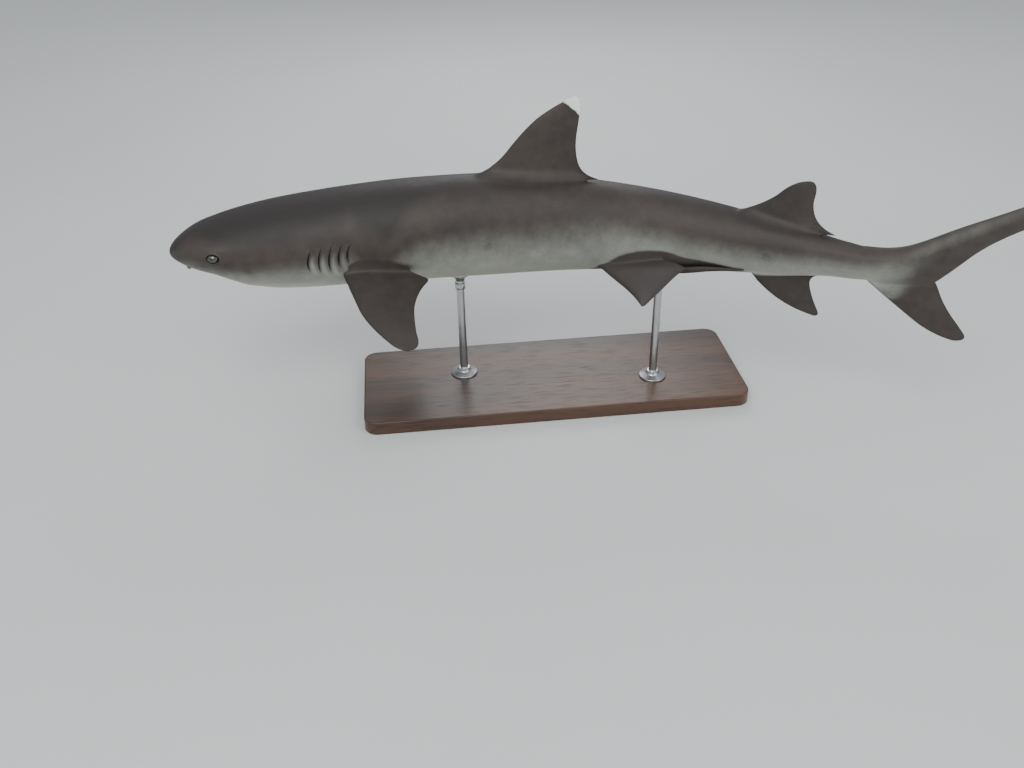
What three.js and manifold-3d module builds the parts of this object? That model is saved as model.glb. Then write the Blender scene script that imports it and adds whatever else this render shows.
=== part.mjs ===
// A whitetip reef shark, life size and still, swimming with its tail swung to the left,
// on a flat display base with two rods.
//
// Frame: millimetres, +Z up. The snout points to -X and the shark's left side faces -Y.
// The origin is the centre of the base's underside, on the surface that it stands on.
//
// The shark is modelled straight, nose at x = 0, and the last step bends every point along the swimming spine.
// Body sizes are percentages of the total length, the way that shark measurements are published.

import * as THREE from 'three';
import { mergeVertices } from 'three/addons/utils/BufferGeometryUtils.js';
import Module from 'manifold-3d';

const wasm = await Module();
wasm.setup();

// ---------------------------------------------------------------- driving sizes

const LENGTH = 1500; // snout to tail tip, along the body
const GAP = 0.3; // between touching pieces
const RIDE_HEIGHT = 305; // the snout's level above the floor
const STAND_STATION = 42; // the station above the middle of the base, in percent

const pc = (percent) => (percent * LENGTH) / 100;
const deg = THREE.MathUtils.degToRad;

// ---------------------------------------------------------------- curves

// A smooth function through [x, y] pairs that never overshoots them (monotone cubic).
function through(pairs) {
  const last = pairs.length - 1;
  const rise = (i) => (pairs[i + 1][1] - pairs[i][1]) / (pairs[i + 1][0] - pairs[i][0]);
  const slopes = pairs.map((_, i) => {
    if (i === 0) return rise(0);
    if (i === last) return rise(last - 1);
    const before = rise(i - 1);
    const after = rise(i);
    return before * after <= 0 ? 0 : (2 * before * after) / (before + after);
  });
  return (x) => {
    if (x <= pairs[0][0]) return pairs[0][1];
    if (x >= pairs[last][0]) return pairs[last][1];
    const i = pairs.findIndex((pair) => pair[0] > x) - 1;
    const [x0, y0] = pairs[i];
    const [x1, y1] = pairs[i + 1];
    const h = x1 - x0;
    const t = (x - x0) / h;
    const u = 1 - t;
    return (
      u * u * (1 + 2 * t) * y0 + t * t * (3 - 2 * t) * y1 + t * u * h * (u * slopes[i] - t * slopes[i + 1])
    );
  };
}

const smooth = (x, from, to) => THREE.MathUtils.smoothstep(x, from, to);

// ---------------------------------------------------------------- the swimming spine

const HEAD_TURN = deg(2.5); // the head's turn to the left
const TAIL_TURN = deg(30.5); // the tail's turn to the left
const SPINE_STEPS = 300;

// How far the body's line is turned to the left at a station, seen going towards the tail.
const heading = (x) => TAIL_TURN * smooth(x, pc(28.5), pc(68)) - HEAD_TURN * (1 - smooth(x, 0, pc(31)));

const spine = [new THREE.Vector2(0, 0)];
for (let i = 0; i < SPINE_STEPS; i++) {
  const step = LENGTH / SPINE_STEPS;
  const turn = heading((i + 0.5) * step);
  spine.push(new THREE.Vector2(Math.cos(turn), -Math.sin(turn)).multiplyScalar(step).add(spine[i]));
}

// The point of the spine at distance x from the snout.
function spinePoint(x) {
  const place = THREE.MathUtils.clamp((x / LENGTH) * SPINE_STEPS, 0, SPINE_STEPS - 1e-6);
  const i = Math.floor(place);
  const point = spine[i].clone().lerp(spine[i + 1], place - i);
  const beyond = x - (place * LENGTH) / SPINE_STEPS;
  return point.add(new THREE.Vector2(Math.cos(heading(x)), -Math.sin(heading(x))).multiplyScalar(beyond));
}

const middle = spinePoint(pc(STAND_STATION));
const SIDE_SHIFT = 14; // moves the shark so that its weight is over the base

// Carries a point of the straight shark to its place in the swimming pose.
function bend(p) {
  const onSpine = spinePoint(p.x);
  const turn = heading(p.x);
  return p.set(
    onSpine.x + p.y * Math.sin(turn) - middle.x,
    onSpine.y + p.y * Math.cos(turn) - middle.y + SIDE_SHIFT,
    p.z + RIDE_HEIGHT,
  );
}

// ---------------------------------------------------------------- body sections

// Heights are from the level line through the snout tip. The belt is the level where the body is widest.
const back = through([
  [0, 1.85], [2, 2.4], [4, 2.95], [6, 3.55], [8.5, 4.15], [12, 4.8], [16, 5.35], [20, 5.8], [27, 6.25],
  [35, 6.35], [42, 5.95], [48, 5.35], [55, 4.6], [62, 3.7], [69, 2.65], [74, 1.75], [77, 1.5], [81, 1.3],
  [85, 1.3], [90, 1.1], [96, 0.85], [100, 0.4],
]);
const belly = through([
  [0, -0.8], [2, -1.2], [4, -1.7], [6, -2.6], [8.5, -3.75], [12, -4.5], [16, -4.75], [20, -4.85], [27, -5.0],
  [35, -5.05], [42, -4.85], [48, -4.55], [55, -4.0], [62, -3.4], [69, -2.7], [74, -2.1], [77, -2.1], [79.5, -3.0],
  [81.5, -3.4], [83, -2.95], [84.5, -2.45], [86.5, -1.8], [88.5, -1.4], [91, -1.2], [93.5, -1.15], [94.2, -1.1],
  [95.5, -1.85], [98, -1.5], [100, -0.5],
]);
const halfWidth = through([
  [0, 3.1], [2, 3.75], [4, 4.35], [6, 4.8], [8.5, 5.2], [12, 5.4], [16, 5.45], [20, 5.4], [27, 5.35],
  [35, 5.15], [42, 4.8], [48, 4.35], [55, 3.7], [62, 3.0], [69, 2.3], [74, 1.75], [77, 1.45], [81, 1.0],
  [86, 0.75], [92, 0.5], [100, 0.15],
]);
const belt = through([[0, 0], [8, -0.2], [16, 0], [30, 0.3], [50, 0.2], [77, 0], [100, 0]]);
const squareUp = through([[0, 2.2], [10, 2.2], [20, 2.05], [74, 2.0], [82, 1.6], [100, 1.5]]);
const squareDown = through([[0, 2.5], [10, 2.5], [25, 2.15], [74, 2.0], [82, 1.25], [100, 1.2]]);

const NOSE_ROUND = 4.2; // the length over which the snout rounds off
const TAIL_ROUND = 1.6; // the same at the tip of the tail
const TAIL_RISE = deg(33); // the angle at which the tail's axis turns up
const EDGE = 0.45; // half the thickness that fin edges keep

// How far the section has rounded in at either end, 0 at the very tip.
function endRounding(station) {
  const nose = Math.min(station / NOSE_ROUND, 1);
  const tail = Math.min((100 - station) / TAIL_ROUND, 1);
  return Math.sqrt(Math.max(1 - (1 - nose) ** 2, 0)) * Math.sqrt(Math.max(1 - (1 - tail) ** 2, 0));
}

// The middle line in side view: level up to the tail fin, then rising.
const axisPoints = [[0, 0]];
const AXIS_STEP = 0.25;
const axisRise = (station) => TAIL_RISE * smooth(station, 73.5, 84);
for (let station = 0; station < 100; station += AXIS_STEP) {
  const rise = axisRise(station + AXIS_STEP / 2);
  const [x, z] = axisPoints[axisPoints.length - 1];
  axisPoints.push([x + AXIS_STEP * Math.cos(rise), z + AXIS_STEP * Math.sin(rise)]);
}
const axisX = through(axisPoints.map(([x], i) => [i * AXIS_STEP, x]));
const axisZ = through(axisPoints.map(([, z], i) => [i * AXIS_STEP, z]));

const power = (value, exponent) => Math.sign(value) * Math.abs(value) ** exponent;

// The straight body's surface at a station and an angle: 0 is the right flank, 90 the back, 180 the left flank.
function onBody(station, angle, lift = 0) {
  const round = endRounding(station);
  const up = Math.sin(deg(angle));
  const across = Math.cos(deg(angle));
  const square = up > 0 ? squareUp(station) : squareDown(station);
  const level = belt(station) * round;
  const reach = up > 0 ? back(station) * round - level : level - belly(station) * round;
  const edge = Math.abs(across) > 1e-6 ? Math.sign(across) * EDGE * round : 0;
  const y = pc(halfWidth(station) * round) * power(across, 2 / square);
  const height = pc(level + reach * power(up, 2 / square));
  const wide = Math.abs(y) > Math.abs(edge) ? y : edge;
  const rise = axisRise(station);
  const rimY = wide + lift * across;
  const rimZ = height + lift * up;
  return new THREE.Vector3(
    pc(axisX(station)) - rimZ * Math.sin(rise),
    rimY,
    pc(axisZ(station)) + rimZ * Math.cos(rise),
  );
}

// ---------------------------------------------------------------- solids from sections

// A closed mesh through a list of sections, each a loop of points, with flat ends.
function loft(sections) {
  const points = sections.flat();
  const count = sections[0].length;
  const faces = [];
  for (let i = 0; i + 1 < sections.length; i++) {
    for (let j = 0; j < count; j++) {
      const a = i * count + j;
      const b = i * count + ((j + 1) % count);
      faces.push(a, b + count, b, a, a + count, b + count);
    }
  }
  const addEnd = (section, first, flip) => {
    const centre = new THREE.Vector3();
    section.forEach((p) => centre.addScaledVector(p, 1 / count));
    points.push(centre);
    const hub = points.length - 1;
    for (let j = 0; j < count; j++) {
      const next = (j + 1) % count;
      faces.push(hub, first + (flip ? next : j), first + (flip ? j : next));
    }
  };
  addEnd(sections[0], 0, false);
  addEnd(sections[sections.length - 1], (sections.length - 1) * count, true);
  return new THREE.BufferGeometry().setFromPoints(points).setIndex(faces);
}

// A three.js geometry as a manifold solid, and back.
function solid(geometry) {
  const bare = geometry.clone();
  bare.deleteAttribute('normal');
  bare.deleteAttribute('uv');
  const merged = mergeVertices(bare, 1e-3);
  const made = new wasm.Manifold(
    new wasm.Mesh({
      numProp: 3,
      vertProperties: merged.attributes.position.array,
      triVerts: new Uint32Array(merged.index.array),
    }),
  );
  if (made.volume() > 0) return made;
  merged.index.array.reverse();
  return solid(merged);
}

function geometryOf(made) {
  const mesh = made.getMesh();
  return new THREE.BufferGeometry()
    .setAttribute('position', new THREE.BufferAttribute(new Float32Array(mesh.vertProperties), 3))
    .setIndex(new THREE.BufferAttribute(new Uint32Array(mesh.triVerts), 1));
}

// The largest body of a solid, without the crumbs that a cut can leave.
const largest = (made) => made.decompose().sort((a, b) => b.volume() - a.volume())[0];

function moved(geometry, map) {
  const position = geometry.attributes.position;
  const p = new THREE.Vector3();
  for (let i = 0; i < position.count; i++) {
    map(p.fromBufferAttribute(position, i));
    position.setXYZ(i, p.x, p.y, p.z);
  }
  return geometry;
}

// The same solid on the other side of the shark.
const mirrored = (made) => solid(moved(geometryOf(made), (p) => p.setY(-p.y)));

// ---------------------------------------------------------------- the body in lengths

const RING = 28;
const SEAM = GAP / pc(1); // the gap between two lengths, in percent
const HEAD_END = 13.2;
const NECK_END = 20.6;
const TRUNK_END = 46;
const STALK_END = 76.5;
const TAIL_TIP_START = 94.9;
const STATIONS = [
  0.03, 0.3, 0.9, 1.8, 3, 4.5, 6.3, 8.2, 10.5, HEAD_END, 15, 17.5, NECK_END, 24.5, 30, 36, 41, TRUNK_END,
  50, 54, 58, 62, 66, 70, 73.5, STALK_END, 79, 81.5, 83.5, 85, 87.5, 90.5, 93.4, 94.2, TAIL_TIP_START,
  96, 98, 99.2, 99.8, 99.98,
];

const ring = (station, lift = 0) =>
  Array.from({ length: RING }, (_, j) => onBody(station, (j * 360) / RING, lift));

// The body between two stations; lift swells it.
function bodyLength(from, to, lift = 0) {
  const inside = STATIONS.filter((station) => station > from && station < to - SEAM);
  return solid(loft([from, ...inside, to].map((station) => ring(station, lift))));
}

const wholeBody = bodyLength(0.03, 99.98, GAP);

// ---------------------------------------------------------------- fins

// A fin's outline lies in a plane, in percent of the length: u goes towards the tail and v away from the body.
// front runs from the root to the tip. rear runs from the root out to the free rear tip, where it turns, and on to
// the tip. turn is the share of the span that the free rear tip stands at.
const CHORD = [0, 0.03, 0.1, 0.24, 0.46, 0.72, 1];

function line(start, ...bends) {
  const path = new THREE.Path().moveTo(...start);
  bends.forEach((b) => (b.length === 2 ? path.lineTo(...b) : path.quadraticCurveTo(...b)));
  return path;
}

// A point of the fin's middle sheet: span 0 at the root, 1 at the tip; chord 0 at the front, 1 at the rear.
function onSheet(fin, span, chord) {
  const front = fin.front.getPointAt(span);
  const rear =
    span < fin.turn ? fin.inner.getPointAt(span / fin.turn) : fin.rear.getPointAt((span - fin.turn) / (1 - fin.turn));
  return front.lerp(rear, chord);
}

// Half the thickness there, in millimetres: fullest at a third of the chord, thin behind.
function halfThick(fin, span, chord) {
  const along = chord < 0.3 ? Math.sqrt(1 - (1 - chord / 0.3) ** 2) : 1 - smooth(chord, 0.3, 1.05);
  const out = (1 - span) ** 0.75;
  return Math.max(pc(fin.thick) * along * (0.16 + 0.84 * out) * (span > 0.97 ? 0.6 : 1), EDGE);
}

const SPANS = [0, 0.06, 0.12, 0.2, 0.32, 0.46, 0.6, 0.74, 0.86, 0.94, 0.98, 1];

// The fin as a closed solid from one span to another; place carries a sheet point and a thickness to the body.
function finSolid(fin, from = 0, to = 1) {
  const section = (span, sink) => {
    const edge = (chord, side) => {
      const at = onSheet(fin, span, chord);
      return fin.place(at.x, at.y - sink, side * halfThick(fin, span, chord));
    };
    const near = CHORD.map((chord) => edge(chord, -1));
    const far = [...CHORD].reverse().map((chord) => edge(chord, 1));
    return [...near, ...far];
  };
  const inside = SPANS.filter((span) => span > from + 0.02 && span < to - 0.004);
  const sections = [from, ...inside, Math.min(to, 0.997)].map((span) => section(span, 0));
  if (from === 0) sections.unshift(section(0, fin.sink));
  return solid(loft(sections));
}

// A fin of the middle plane, above the back or, with side -1, below the belly.
const upright = (side) => (u, v, w) => new THREE.Vector3(pc(u), w * side, pc(v) * side);

// A paired fin of the left side: it leaves the body at a root point, tilts down and droops towards its tip.
function paired(root, tilt, droop, lean) {
  return (u, v, w) => {
    const out = pc(v);
    const down = out * Math.sin(tilt) + (droop * out * Math.abs(out)) / pc(16);
    const along = pc(u);
    return new THREE.Vector3(
      root.x + along,
      root.y - out * Math.cos(tilt) - w * Math.sin(tilt),
      root.z - down + w * Math.cos(tilt) - along * Math.sin(lean),
    );
  };
}

const firstDorsal = {
  front: line([32.6, 6.0], [35.6, 6.9, 37.2, 8.9], [38.9, 11.1, 40.6, 12.55], [42.3, 13.8, 44.4, 14.8]),
  inner: line([44.6, 5.4], [45.7, 5.65, 47.3, 5.75]),
  rear: line([47.3, 5.75], [45.5, 6.1, 45.0, 7.4], [44.5, 8.9, 44.75, 10.9], [45.0, 12.6, 45.05, 13.6],
    [45.1, 14.8, 44.4, 14.8]),
  turn: 0.18, thick: 0.55, sink: 1.2, place: upright(1),
};

const secondDorsal = {
  front: line([61.6, 3.4], [64.4, 4.2, 66.4, 5.95], [67.9, 7.75, 69.5, 7.8]),
  inner: line([69.8, 1.9], [71.2, 2.25, 72.9, 2.35]),
  rear: line([72.9, 2.35], [71.0, 2.9, 70.4, 4.3], [70.0, 5.3, 70.2, 6.3], [70.35, 7.8, 69.5, 7.8]),
  turn: 0.22, thick: 0.42, sink: 1, place: upright(1),
};

const analFin = {
  front: line([63.8, 2.6], [65.6, 4.6, 67.7, 5.85], [69.8, 7.0, 72.0, 7.27]),
  inner: line([69.8, 2.0], [70.7, 2.3, 71.8, 2.45]),
  rear: line([71.8, 2.45], [70.7, 2.7, 71.05, 3.9], [71.5, 5.3, 72.2, 6.5], [72.6, 7.2, 72.0, 7.27]),
  turn: 0.2, thick: 0.4, sink: 1, place: upright(-1),
};

const lowerLobe = {
  front: line([75.6, 1.4], [79.2, 3.9, 82.3, 5.95], [84.3, 7.1, 86.2, 7.3]),
  inner: line([82.7, -0.2], [83.5, 1.4]),
  rear: line([83.5, 1.4], [84.3, 3.3, 85.9, 5.0], [86.8, 6.0, 87.15, 6.45], [87.5, 7.15, 86.2, 7.3]),
  turn: 0.12, thick: 0.3, sink: 1, place: upright(-1),
};

const pectoralFin = {
  front: line([-0.7, 0], [0.2, 3.0, 1.0, 5.95], [1.8, 8.4, 4.1, 11.2], [4.9, 12.2, 5.9, 12.2]),
  inner: line([5.0, -0.6], [7.0, -0.2, 8.85, 1.05]),
  rear: line([8.85, 1.05], [7.2, 2.9, 6.8, 5.9], [6.7, 7.8, 6.85, 9.8], [7.35, 12.1, 5.9, 12.2]),
  turn: 0.12, thick: 0.62, sink: 1.8,
  place: paired(onBody(19.2, 180 + 24), deg(12), 0.02, deg(3)),
};

const pelvicFin = {
  front: line([0.5, -0.5], [2.6, 1.5, 4.4, 2.95], [5.9, 4.15, 7.15, 5.6]),
  inner: line([5.6, -0.8], [8.4, -0.1, 11.95, 1.6]),
  rear: line([11.95, 1.6], [11.0, 2.1, 9.95, 3.3], [9.0, 4.3, 8.2, 5.0], [7.5, 5.85, 7.15, 5.6]),
  turn: 0.16, thick: 0.42, sink: 1.2,
  place: paired(onBody(46.4, 180 + 42), deg(45), 0, deg(-12)),
};

// ---------------------------------------------------------------- head pieces

// The lower jaw is the underside of the head inside the curve of the mouth.
const MOUTH_FRONT = 3.1;
const MOUTH_CORNER = 8.4;
const MOUTH_HALF = 4.1;
const JAW_END = 11.4;
const JAW_TOP = -0.9;

function jawColumn(grow) {
  const shape = new THREE.Shape();
  const steps = 16;
  for (let i = 0; i <= steps; i++) {
    const side = (2 * i) / steps - 1;
    const x = MOUTH_FRONT + (MOUTH_CORNER - MOUTH_FRONT) * Math.abs(side) ** 2.3;
    shape[i ? 'lineTo' : 'moveTo'](pc(x) - grow, (pc(MOUTH_HALF) + grow) * side);
  }
  shape.lineTo(pc(JAW_END) + grow, pc(MOUTH_HALF) + grow);
  shape.lineTo(pc(JAW_END) + grow, -pc(MOUTH_HALF) - grow);
  const depth = pc(10);
  const column = new THREE.ExtrudeGeometry(shape, { depth, bevelEnabled: false });
  return solid(column.translate(0, 0, pc(JAW_TOP) + grow - depth));
}

const EYE_STATION = 5.1;
const EYE_ANGLE = 180 - 12;
const EYE_HALF = new THREE.Vector3(11.5, 9, 8.5);
const EYE_SINK = 6.5;

function eyeball(grow) {
  const centre = onBody(EYE_STATION, EYE_ANGLE, -EYE_SINK);
  const ball = new THREE.SphereGeometry(1, 14, 9);
  ball.scale(EYE_HALF.x + grow, EYE_HALF.y + grow, EYE_HALF.z + grow);
  return solid(ball.rotateZ(deg(-14)).translate(centre.x, centre.y, centre.z));
}

// The rolled flap of skin in front of the nostril.
function nasalFlap() {
  const root = onBody(2.1, 180 + 52, -1);
  const profile = [[0, 0], [4.2, 0], [4, 4], [3.2, 6.8], [1.6, 8.2], [0, 8.6]];
  const flap = new THREE.LatheGeometry(profile.map(([r, h]) => new THREE.Vector2(r, h)), 10);
  return solid(flap.rotateX(deg(-90)).rotateX(deg(-18)).rotateY(deg(-35)).translate(root.x, root.y, root.z));
}

// Five gill slits on each side, thin blades pushed into the neck.
const GILL_STATIONS = [15.0, 16.15, 17.25, 18.3, 19.25];
const GILL_HEIGHTS = [2.6, 3.0, 3.2, 2.7, 2.2];
const GILL_LEVELS = [-0.1, -0.1, -0.05, 0.2, 0.45];
const GILL_WIDE = 1.4;
const GILL_DEEP = 6;

function gillBlade(i) {
  const shape = new THREE.Shape();
  const half = pc(GILL_HEIGHTS[i]) / 2;
  const steps = 6;
  const edge = (t, width) => [width * (1 - t * t) + 5 * t * t + 2.5 * t, half * t];
  for (let k = 0; k <= steps; k++) {
    shape[k ? 'lineTo' : 'moveTo'](...edge((2 * k) / steps - 1, -GILL_WIDE / 2));
  }
  for (let k = steps - 1; k > 0; k--) shape.lineTo(...edge((2 * k) / steps - 1, GILL_WIDE / 2));
  const depth = 40;
  const blade = new THREE.ExtrudeGeometry(shape, { depth, bevelEnabled: false }).rotateX(deg(90));
  const y = -pc(halfWidth(GILL_STATIONS[i])) + GILL_DEEP;
  return solid(blade.translate(pc(GILL_STATIONS[i]), y, pc(GILL_LEVELS[i])));
}

// ---------------------------------------------------------------- claspers

// The pair of rods behind the pelvic fins that tell a male, lying along the lower flanks.
function clasper(grow) {
  const from = 51.25;
  const to = 64.2;
  const steps = 8;
  const radius = through([[0, 0.4], [0.15, 0.5], [0.55, 0.48], [0.8, 0.3], [1, 0.08]]);
  const down = through([[0, 50], [0.45, 42], [0.7, 36], [1, 42]]);
  const sections = Array.from({ length: steps + 1 }, (_, i) => {
    const share = i / steps;
    const station = from + (to - from) * share;
    const r = pc(radius(share)) + grow;
    const centre = onBody(station, 180 + down(share), 0.8 * (r - grow));
    return Array.from({ length: 8 }, (_, j) => {
      const a = (j * 2 * Math.PI) / 8;
      return new THREE.Vector3(centre.x, centre.y + r * Math.cos(a), centre.z + r * Math.sin(a));
    });
  });
  return solid(loft(sections));
}

// ---------------------------------------------------------------- the shark, straight, then bent

const skinDark = new THREE.MeshStandardMaterial({ color: 0x57504b, roughness: 0.55, metalness: 0 });
const skinPale = new THREE.MeshStandardMaterial({ color: 0x8b8880, roughness: 0.55, metalness: 0 });
const skinWhite = new THREE.MeshStandardMaterial({ color: 0xe6e8e4, roughness: 0.55, metalness: 0 });
const eyeGlass = new THREE.MeshStandardMaterial({ color: 0x2b2c26, roughness: 0.1, metalness: 0 });
const wood = new THREE.MeshStandardMaterial({ color: 0x3b2a20, roughness: 0.4, metalness: 0 });
const steel = new THREE.MeshStandardMaterial({ color: 0xb8babb, roughness: 0.3, metalness: 1 });

const shark = new THREE.Group();

function addPiece(name, material, made) {
  const mesh = new THREE.Mesh(geometryOf(made), material);
  mesh.name = name;
  shark.add(mesh);
}

const bent = (made) => solid(moved(geometryOf(made), bend));
const addBent = (name, material, made) => addPiece(name, material, bent(made));

// Fins are bent first and then trimmed to the bent body, so that they follow its facets.
const bentBody = bent(wholeBody);
const addFin = (name, material, made) => addPiece(name, material, largest(bent(made).subtract(bentBody)));

function addPair(add, name, material, made) {
  add(`${name}_left`, material, made);
  add(`${name}_right`, material, mirrored(made));
}

const flap = nasalFlap();
const eye = eyeball(0);
const socket = eyeball(GAP);
let head = bodyLength(0.03, HEAD_END - SEAM);
const jaw = largest(head.intersect(jawColumn(0)));
head = head.subtract(jawColumn(GAP)).subtract(socket).subtract(mirrored(socket));
addBent('head', skinDark, largest(head));
addBent('lower_jaw', skinPale, jaw);
addPair(addBent, 'eye', eyeGlass, eye);
addPair(addFin, 'nasal_flap', skinDark, flap);

let neck = bodyLength(HEAD_END, NECK_END - SEAM);
GILL_STATIONS.forEach((_, i) => {
  const blade = gillBlade(i);
  neck = neck.subtract(blade).subtract(mirrored(blade));
});
addBent('neck', skinDark, largest(neck));
addBent('trunk', skinDark, bodyLength(NECK_END, TRUNK_END - SEAM));
addBent('tail_stalk', skinDark, bodyLength(TRUNK_END, STALK_END - SEAM));

addBent('tail_fin_upper', skinDark, bodyLength(STALK_END, TAIL_TIP_START - SEAM));
addBent('tail_fin_white_tip', skinWhite, bodyLength(TAIL_TIP_START, 99.98));
addFin('tail_fin_lower', skinDark, finSolid(lowerLobe));

const DORSAL_TIP_START = 0.87;
addFin('first_dorsal_fin', skinDark, finSolid(firstDorsal, 0, DORSAL_TIP_START - 0.003));
addBent('first_dorsal_white_tip', skinWhite, finSolid(firstDorsal, DORSAL_TIP_START, 1));
addFin('second_dorsal_fin', skinDark, finSolid(secondDorsal));
addFin('anal_fin', skinDark, finSolid(analFin));
addPair(addFin, 'pectoral_fin', skinDark, finSolid(pectoralFin));
addPair(addFin, 'pelvic_fin', skinDark, finSolid(pelvicFin).subtract(clasper(GAP)));
addPair(addFin, 'clasper', skinDark, clasper(0));

// ---------------------------------------------------------------- the stand

const BASE = { long: 680, wide: 240, thick: 24, corner: 24, chamfer: 3 };
const ROD_RADIUS = 7;
const ROD_STATIONS = { front: 31.5, rear: 54.5 };

function baseBoard() {
  const inset = BASE.chamfer;
  const x = BASE.long / 2 - inset;
  const y = BASE.wide / 2 - inset;
  const r = BASE.corner - inset;
  const shape = new THREE.Shape()
    .absarc(x - r, y - r, r, 0, Math.PI / 2)
    .absarc(r - x, y - r, r, Math.PI / 2, Math.PI)
    .absarc(r - x, r - y, r, Math.PI, 1.5 * Math.PI)
    .absarc(x - r, r - y, r, 1.5 * Math.PI, 2 * Math.PI);
  const board = new THREE.ExtrudeGeometry(shape, {
    depth: BASE.thick - 2 * inset, bevelThickness: inset, bevelSize: inset, bevelSegments: 1, curveSegments: 4,
  });
  return solid(board.translate(0, 0, inset));
}

const FLANGE = [[0, 0], [24, 0], [24, 3], [22, 5], [12, 6], [10, 12], [0, 12]];

// A rod from the base up to the belly, with a flange at its foot and a cup at its head.
function addRod(name, station) {
  const foot = bend(onBody(station, 270));
  const top = foot.z + 12;
  const from = BASE.thick + GAP;
  const rod = new THREE.CylinderGeometry(ROD_RADIUS, ROD_RADIUS, top - from - 6, 20).rotateX(deg(90));
  rod.translate(foot.x, foot.y, (top + from + 6) / 2);
  const flange = new THREE.LatheGeometry(FLANGE.map(([r, h]) => new THREE.Vector2(r, h)), 24).rotateX(deg(90));
  flange.translate(foot.x, foot.y, from);
  const cup = new THREE.LatheGeometry(
    [[0, 0], [8, 0], [10, 6], [20, 14], [20, 26], [0, 26]].map(([r, h]) => new THREE.Vector2(r, h)), 24,
  ).rotateX(deg(90));
  cup.translate(foot.x, foot.y, foot.z - 17);
  addPiece(`stand_rod_${name}`, steel, largest(solid(rod).subtract(solid(cup)).add(solid(flange)).subtract(bentBody)));
  addPiece(`stand_cup_${name}`, steel, largest(solid(cup).subtract(bentBody)));
}

addPiece('stand_base', wood, baseBoard());
Object.entries(ROD_STATIONS).forEach(([name, station]) => addRod(name, station));

export default shark;
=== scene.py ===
# %% [markdown]
# # A whitetip reef shark on a display stand
#
# A shark is one smooth body with thin fins, all under one skin, so most of this lesson is about making that one
# skin. It is a sheet rolled into a tube. The fins are drawn out of the tube's own faces, so they have no seam where
# they meet the body, and the gills, mouth and lids are pressed into it. All of this is done on a straight shark,
# where left and right are alike, and the last step bends the finished skin along the line of a swimming shark.
#
# The solids of the CAD model come first: each new piece below hides the solids that it stands in for.

# %% Load the solids
import math

import bmesh
import bpy
import numpy as np
from mathutils import Matrix, Vector


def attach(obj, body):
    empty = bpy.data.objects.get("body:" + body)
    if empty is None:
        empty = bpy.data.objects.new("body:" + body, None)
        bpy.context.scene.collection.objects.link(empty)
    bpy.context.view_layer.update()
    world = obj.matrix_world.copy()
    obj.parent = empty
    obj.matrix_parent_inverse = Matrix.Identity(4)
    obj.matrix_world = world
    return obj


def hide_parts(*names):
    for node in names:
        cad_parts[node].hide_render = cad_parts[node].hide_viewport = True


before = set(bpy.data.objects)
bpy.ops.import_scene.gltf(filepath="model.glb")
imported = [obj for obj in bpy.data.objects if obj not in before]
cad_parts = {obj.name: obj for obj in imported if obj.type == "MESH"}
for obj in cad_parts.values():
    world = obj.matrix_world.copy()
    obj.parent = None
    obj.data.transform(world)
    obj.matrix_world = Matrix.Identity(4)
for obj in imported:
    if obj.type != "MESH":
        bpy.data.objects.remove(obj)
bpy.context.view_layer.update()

# %% [markdown]
# Sharks are measured in percent of their total length, from the snout to the tip of the tail. The same habit
# keeps the numbers below small. Curves through a few measured pairs describe the outline from the side and from
# above. A curve of this kind never swings past its own points, which a plain spline would do.

# %% Sizes and curves
LENGTH = 1.5  # metres, snout to tail tip along the body
TINY = 1e-6  # less than this is nothing


def pc(percent):
    return percent * LENGTH / 100


def mm(value):
    return value / 1000


def smooth(x, start, end):
    """0 up to the start, 1 from the end on, and soft between."""
    t = np.clip((x - start) / (end - start), 0, 1)
    return t * t * (3 - 2 * t)


def within(x, start, full, ending, end):
    """0 outside the start and the end, 1 between the full and the ending, and soft between."""
    return smooth(x, start, full) * (1 - smooth(x, ending, end))


def ridge(distance, width):
    """1 at no distance, falling softly to nothing."""
    return np.exp(-((distance / width) ** 2))


def through(*pairs):
    """A smooth curve through (x, y) pairs that never overshoots them."""
    x, y = np.array(pairs, float).T
    rise = np.diff(y) / np.diff(x)
    slope = np.concatenate([rise[:1], np.zeros(len(x) - 2), rise[-1:]])
    before, after = rise[:-1], rise[1:]
    alike = before * after > 0
    slope[1:-1][alike] = 2 * (before * after)[alike] / (before + after)[alike]

    def at(value):
        value = np.clip(value, x[0], x[-1])
        i = np.clip(np.searchsorted(x, value, side="right") - 1, 0, len(x) - 2)
        h = x[i + 1] - x[i]
        t = (value - x[i]) / h
        u = 1 - t
        ends = u * u * (1 + 2 * t) * y[i] + t * t * (3 - 2 * t) * y[i + 1]
        return ends + t * u * h * (u * slope[i] - t * slope[i + 1])

    return at


# %% [markdown]
# The body's outline. Heights are from the level line through the snout's tip, and the belt is the level where the
# body is widest. The last pairs of the belly line are the web of the tail fin with the notch near its tip.

# %% The body's outline
back = through(
    (0, 1.85), (2, 2.4), (4, 2.95), (6, 3.55), (8.5, 4.15), (12, 4.8), (16, 5.35), (20, 5.8), (27, 6.25),
    (35, 6.35), (42, 5.95), (48, 5.35), (55, 4.6), (62, 3.7), (69, 2.65), (74, 1.75), (77, 1.5), (81, 1.3),
    (85, 1.3), (90, 1.1), (96, 0.85), (100, 0.4),
)
belly = through(
    (0, -0.8), (2, -1.2), (4, -1.7), (6, -2.6), (8.5, -3.75), (12, -4.5), (16, -4.75), (20, -4.85), (27, -5.0),
    (35, -5.05), (42, -4.85), (48, -4.55), (55, -4.0), (62, -3.4), (69, -2.7), (74, -2.1), (77, -2.1), (79.5, -3.0),
    (81.5, -3.4), (83, -2.95), (84.5, -2.45), (86.5, -1.8), (88.5, -1.4), (91, -1.2), (93.5, -1.15), (94.2, -1.1),
    (95.5, -1.85), (98, -1.5), (100, -0.5),
)
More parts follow.
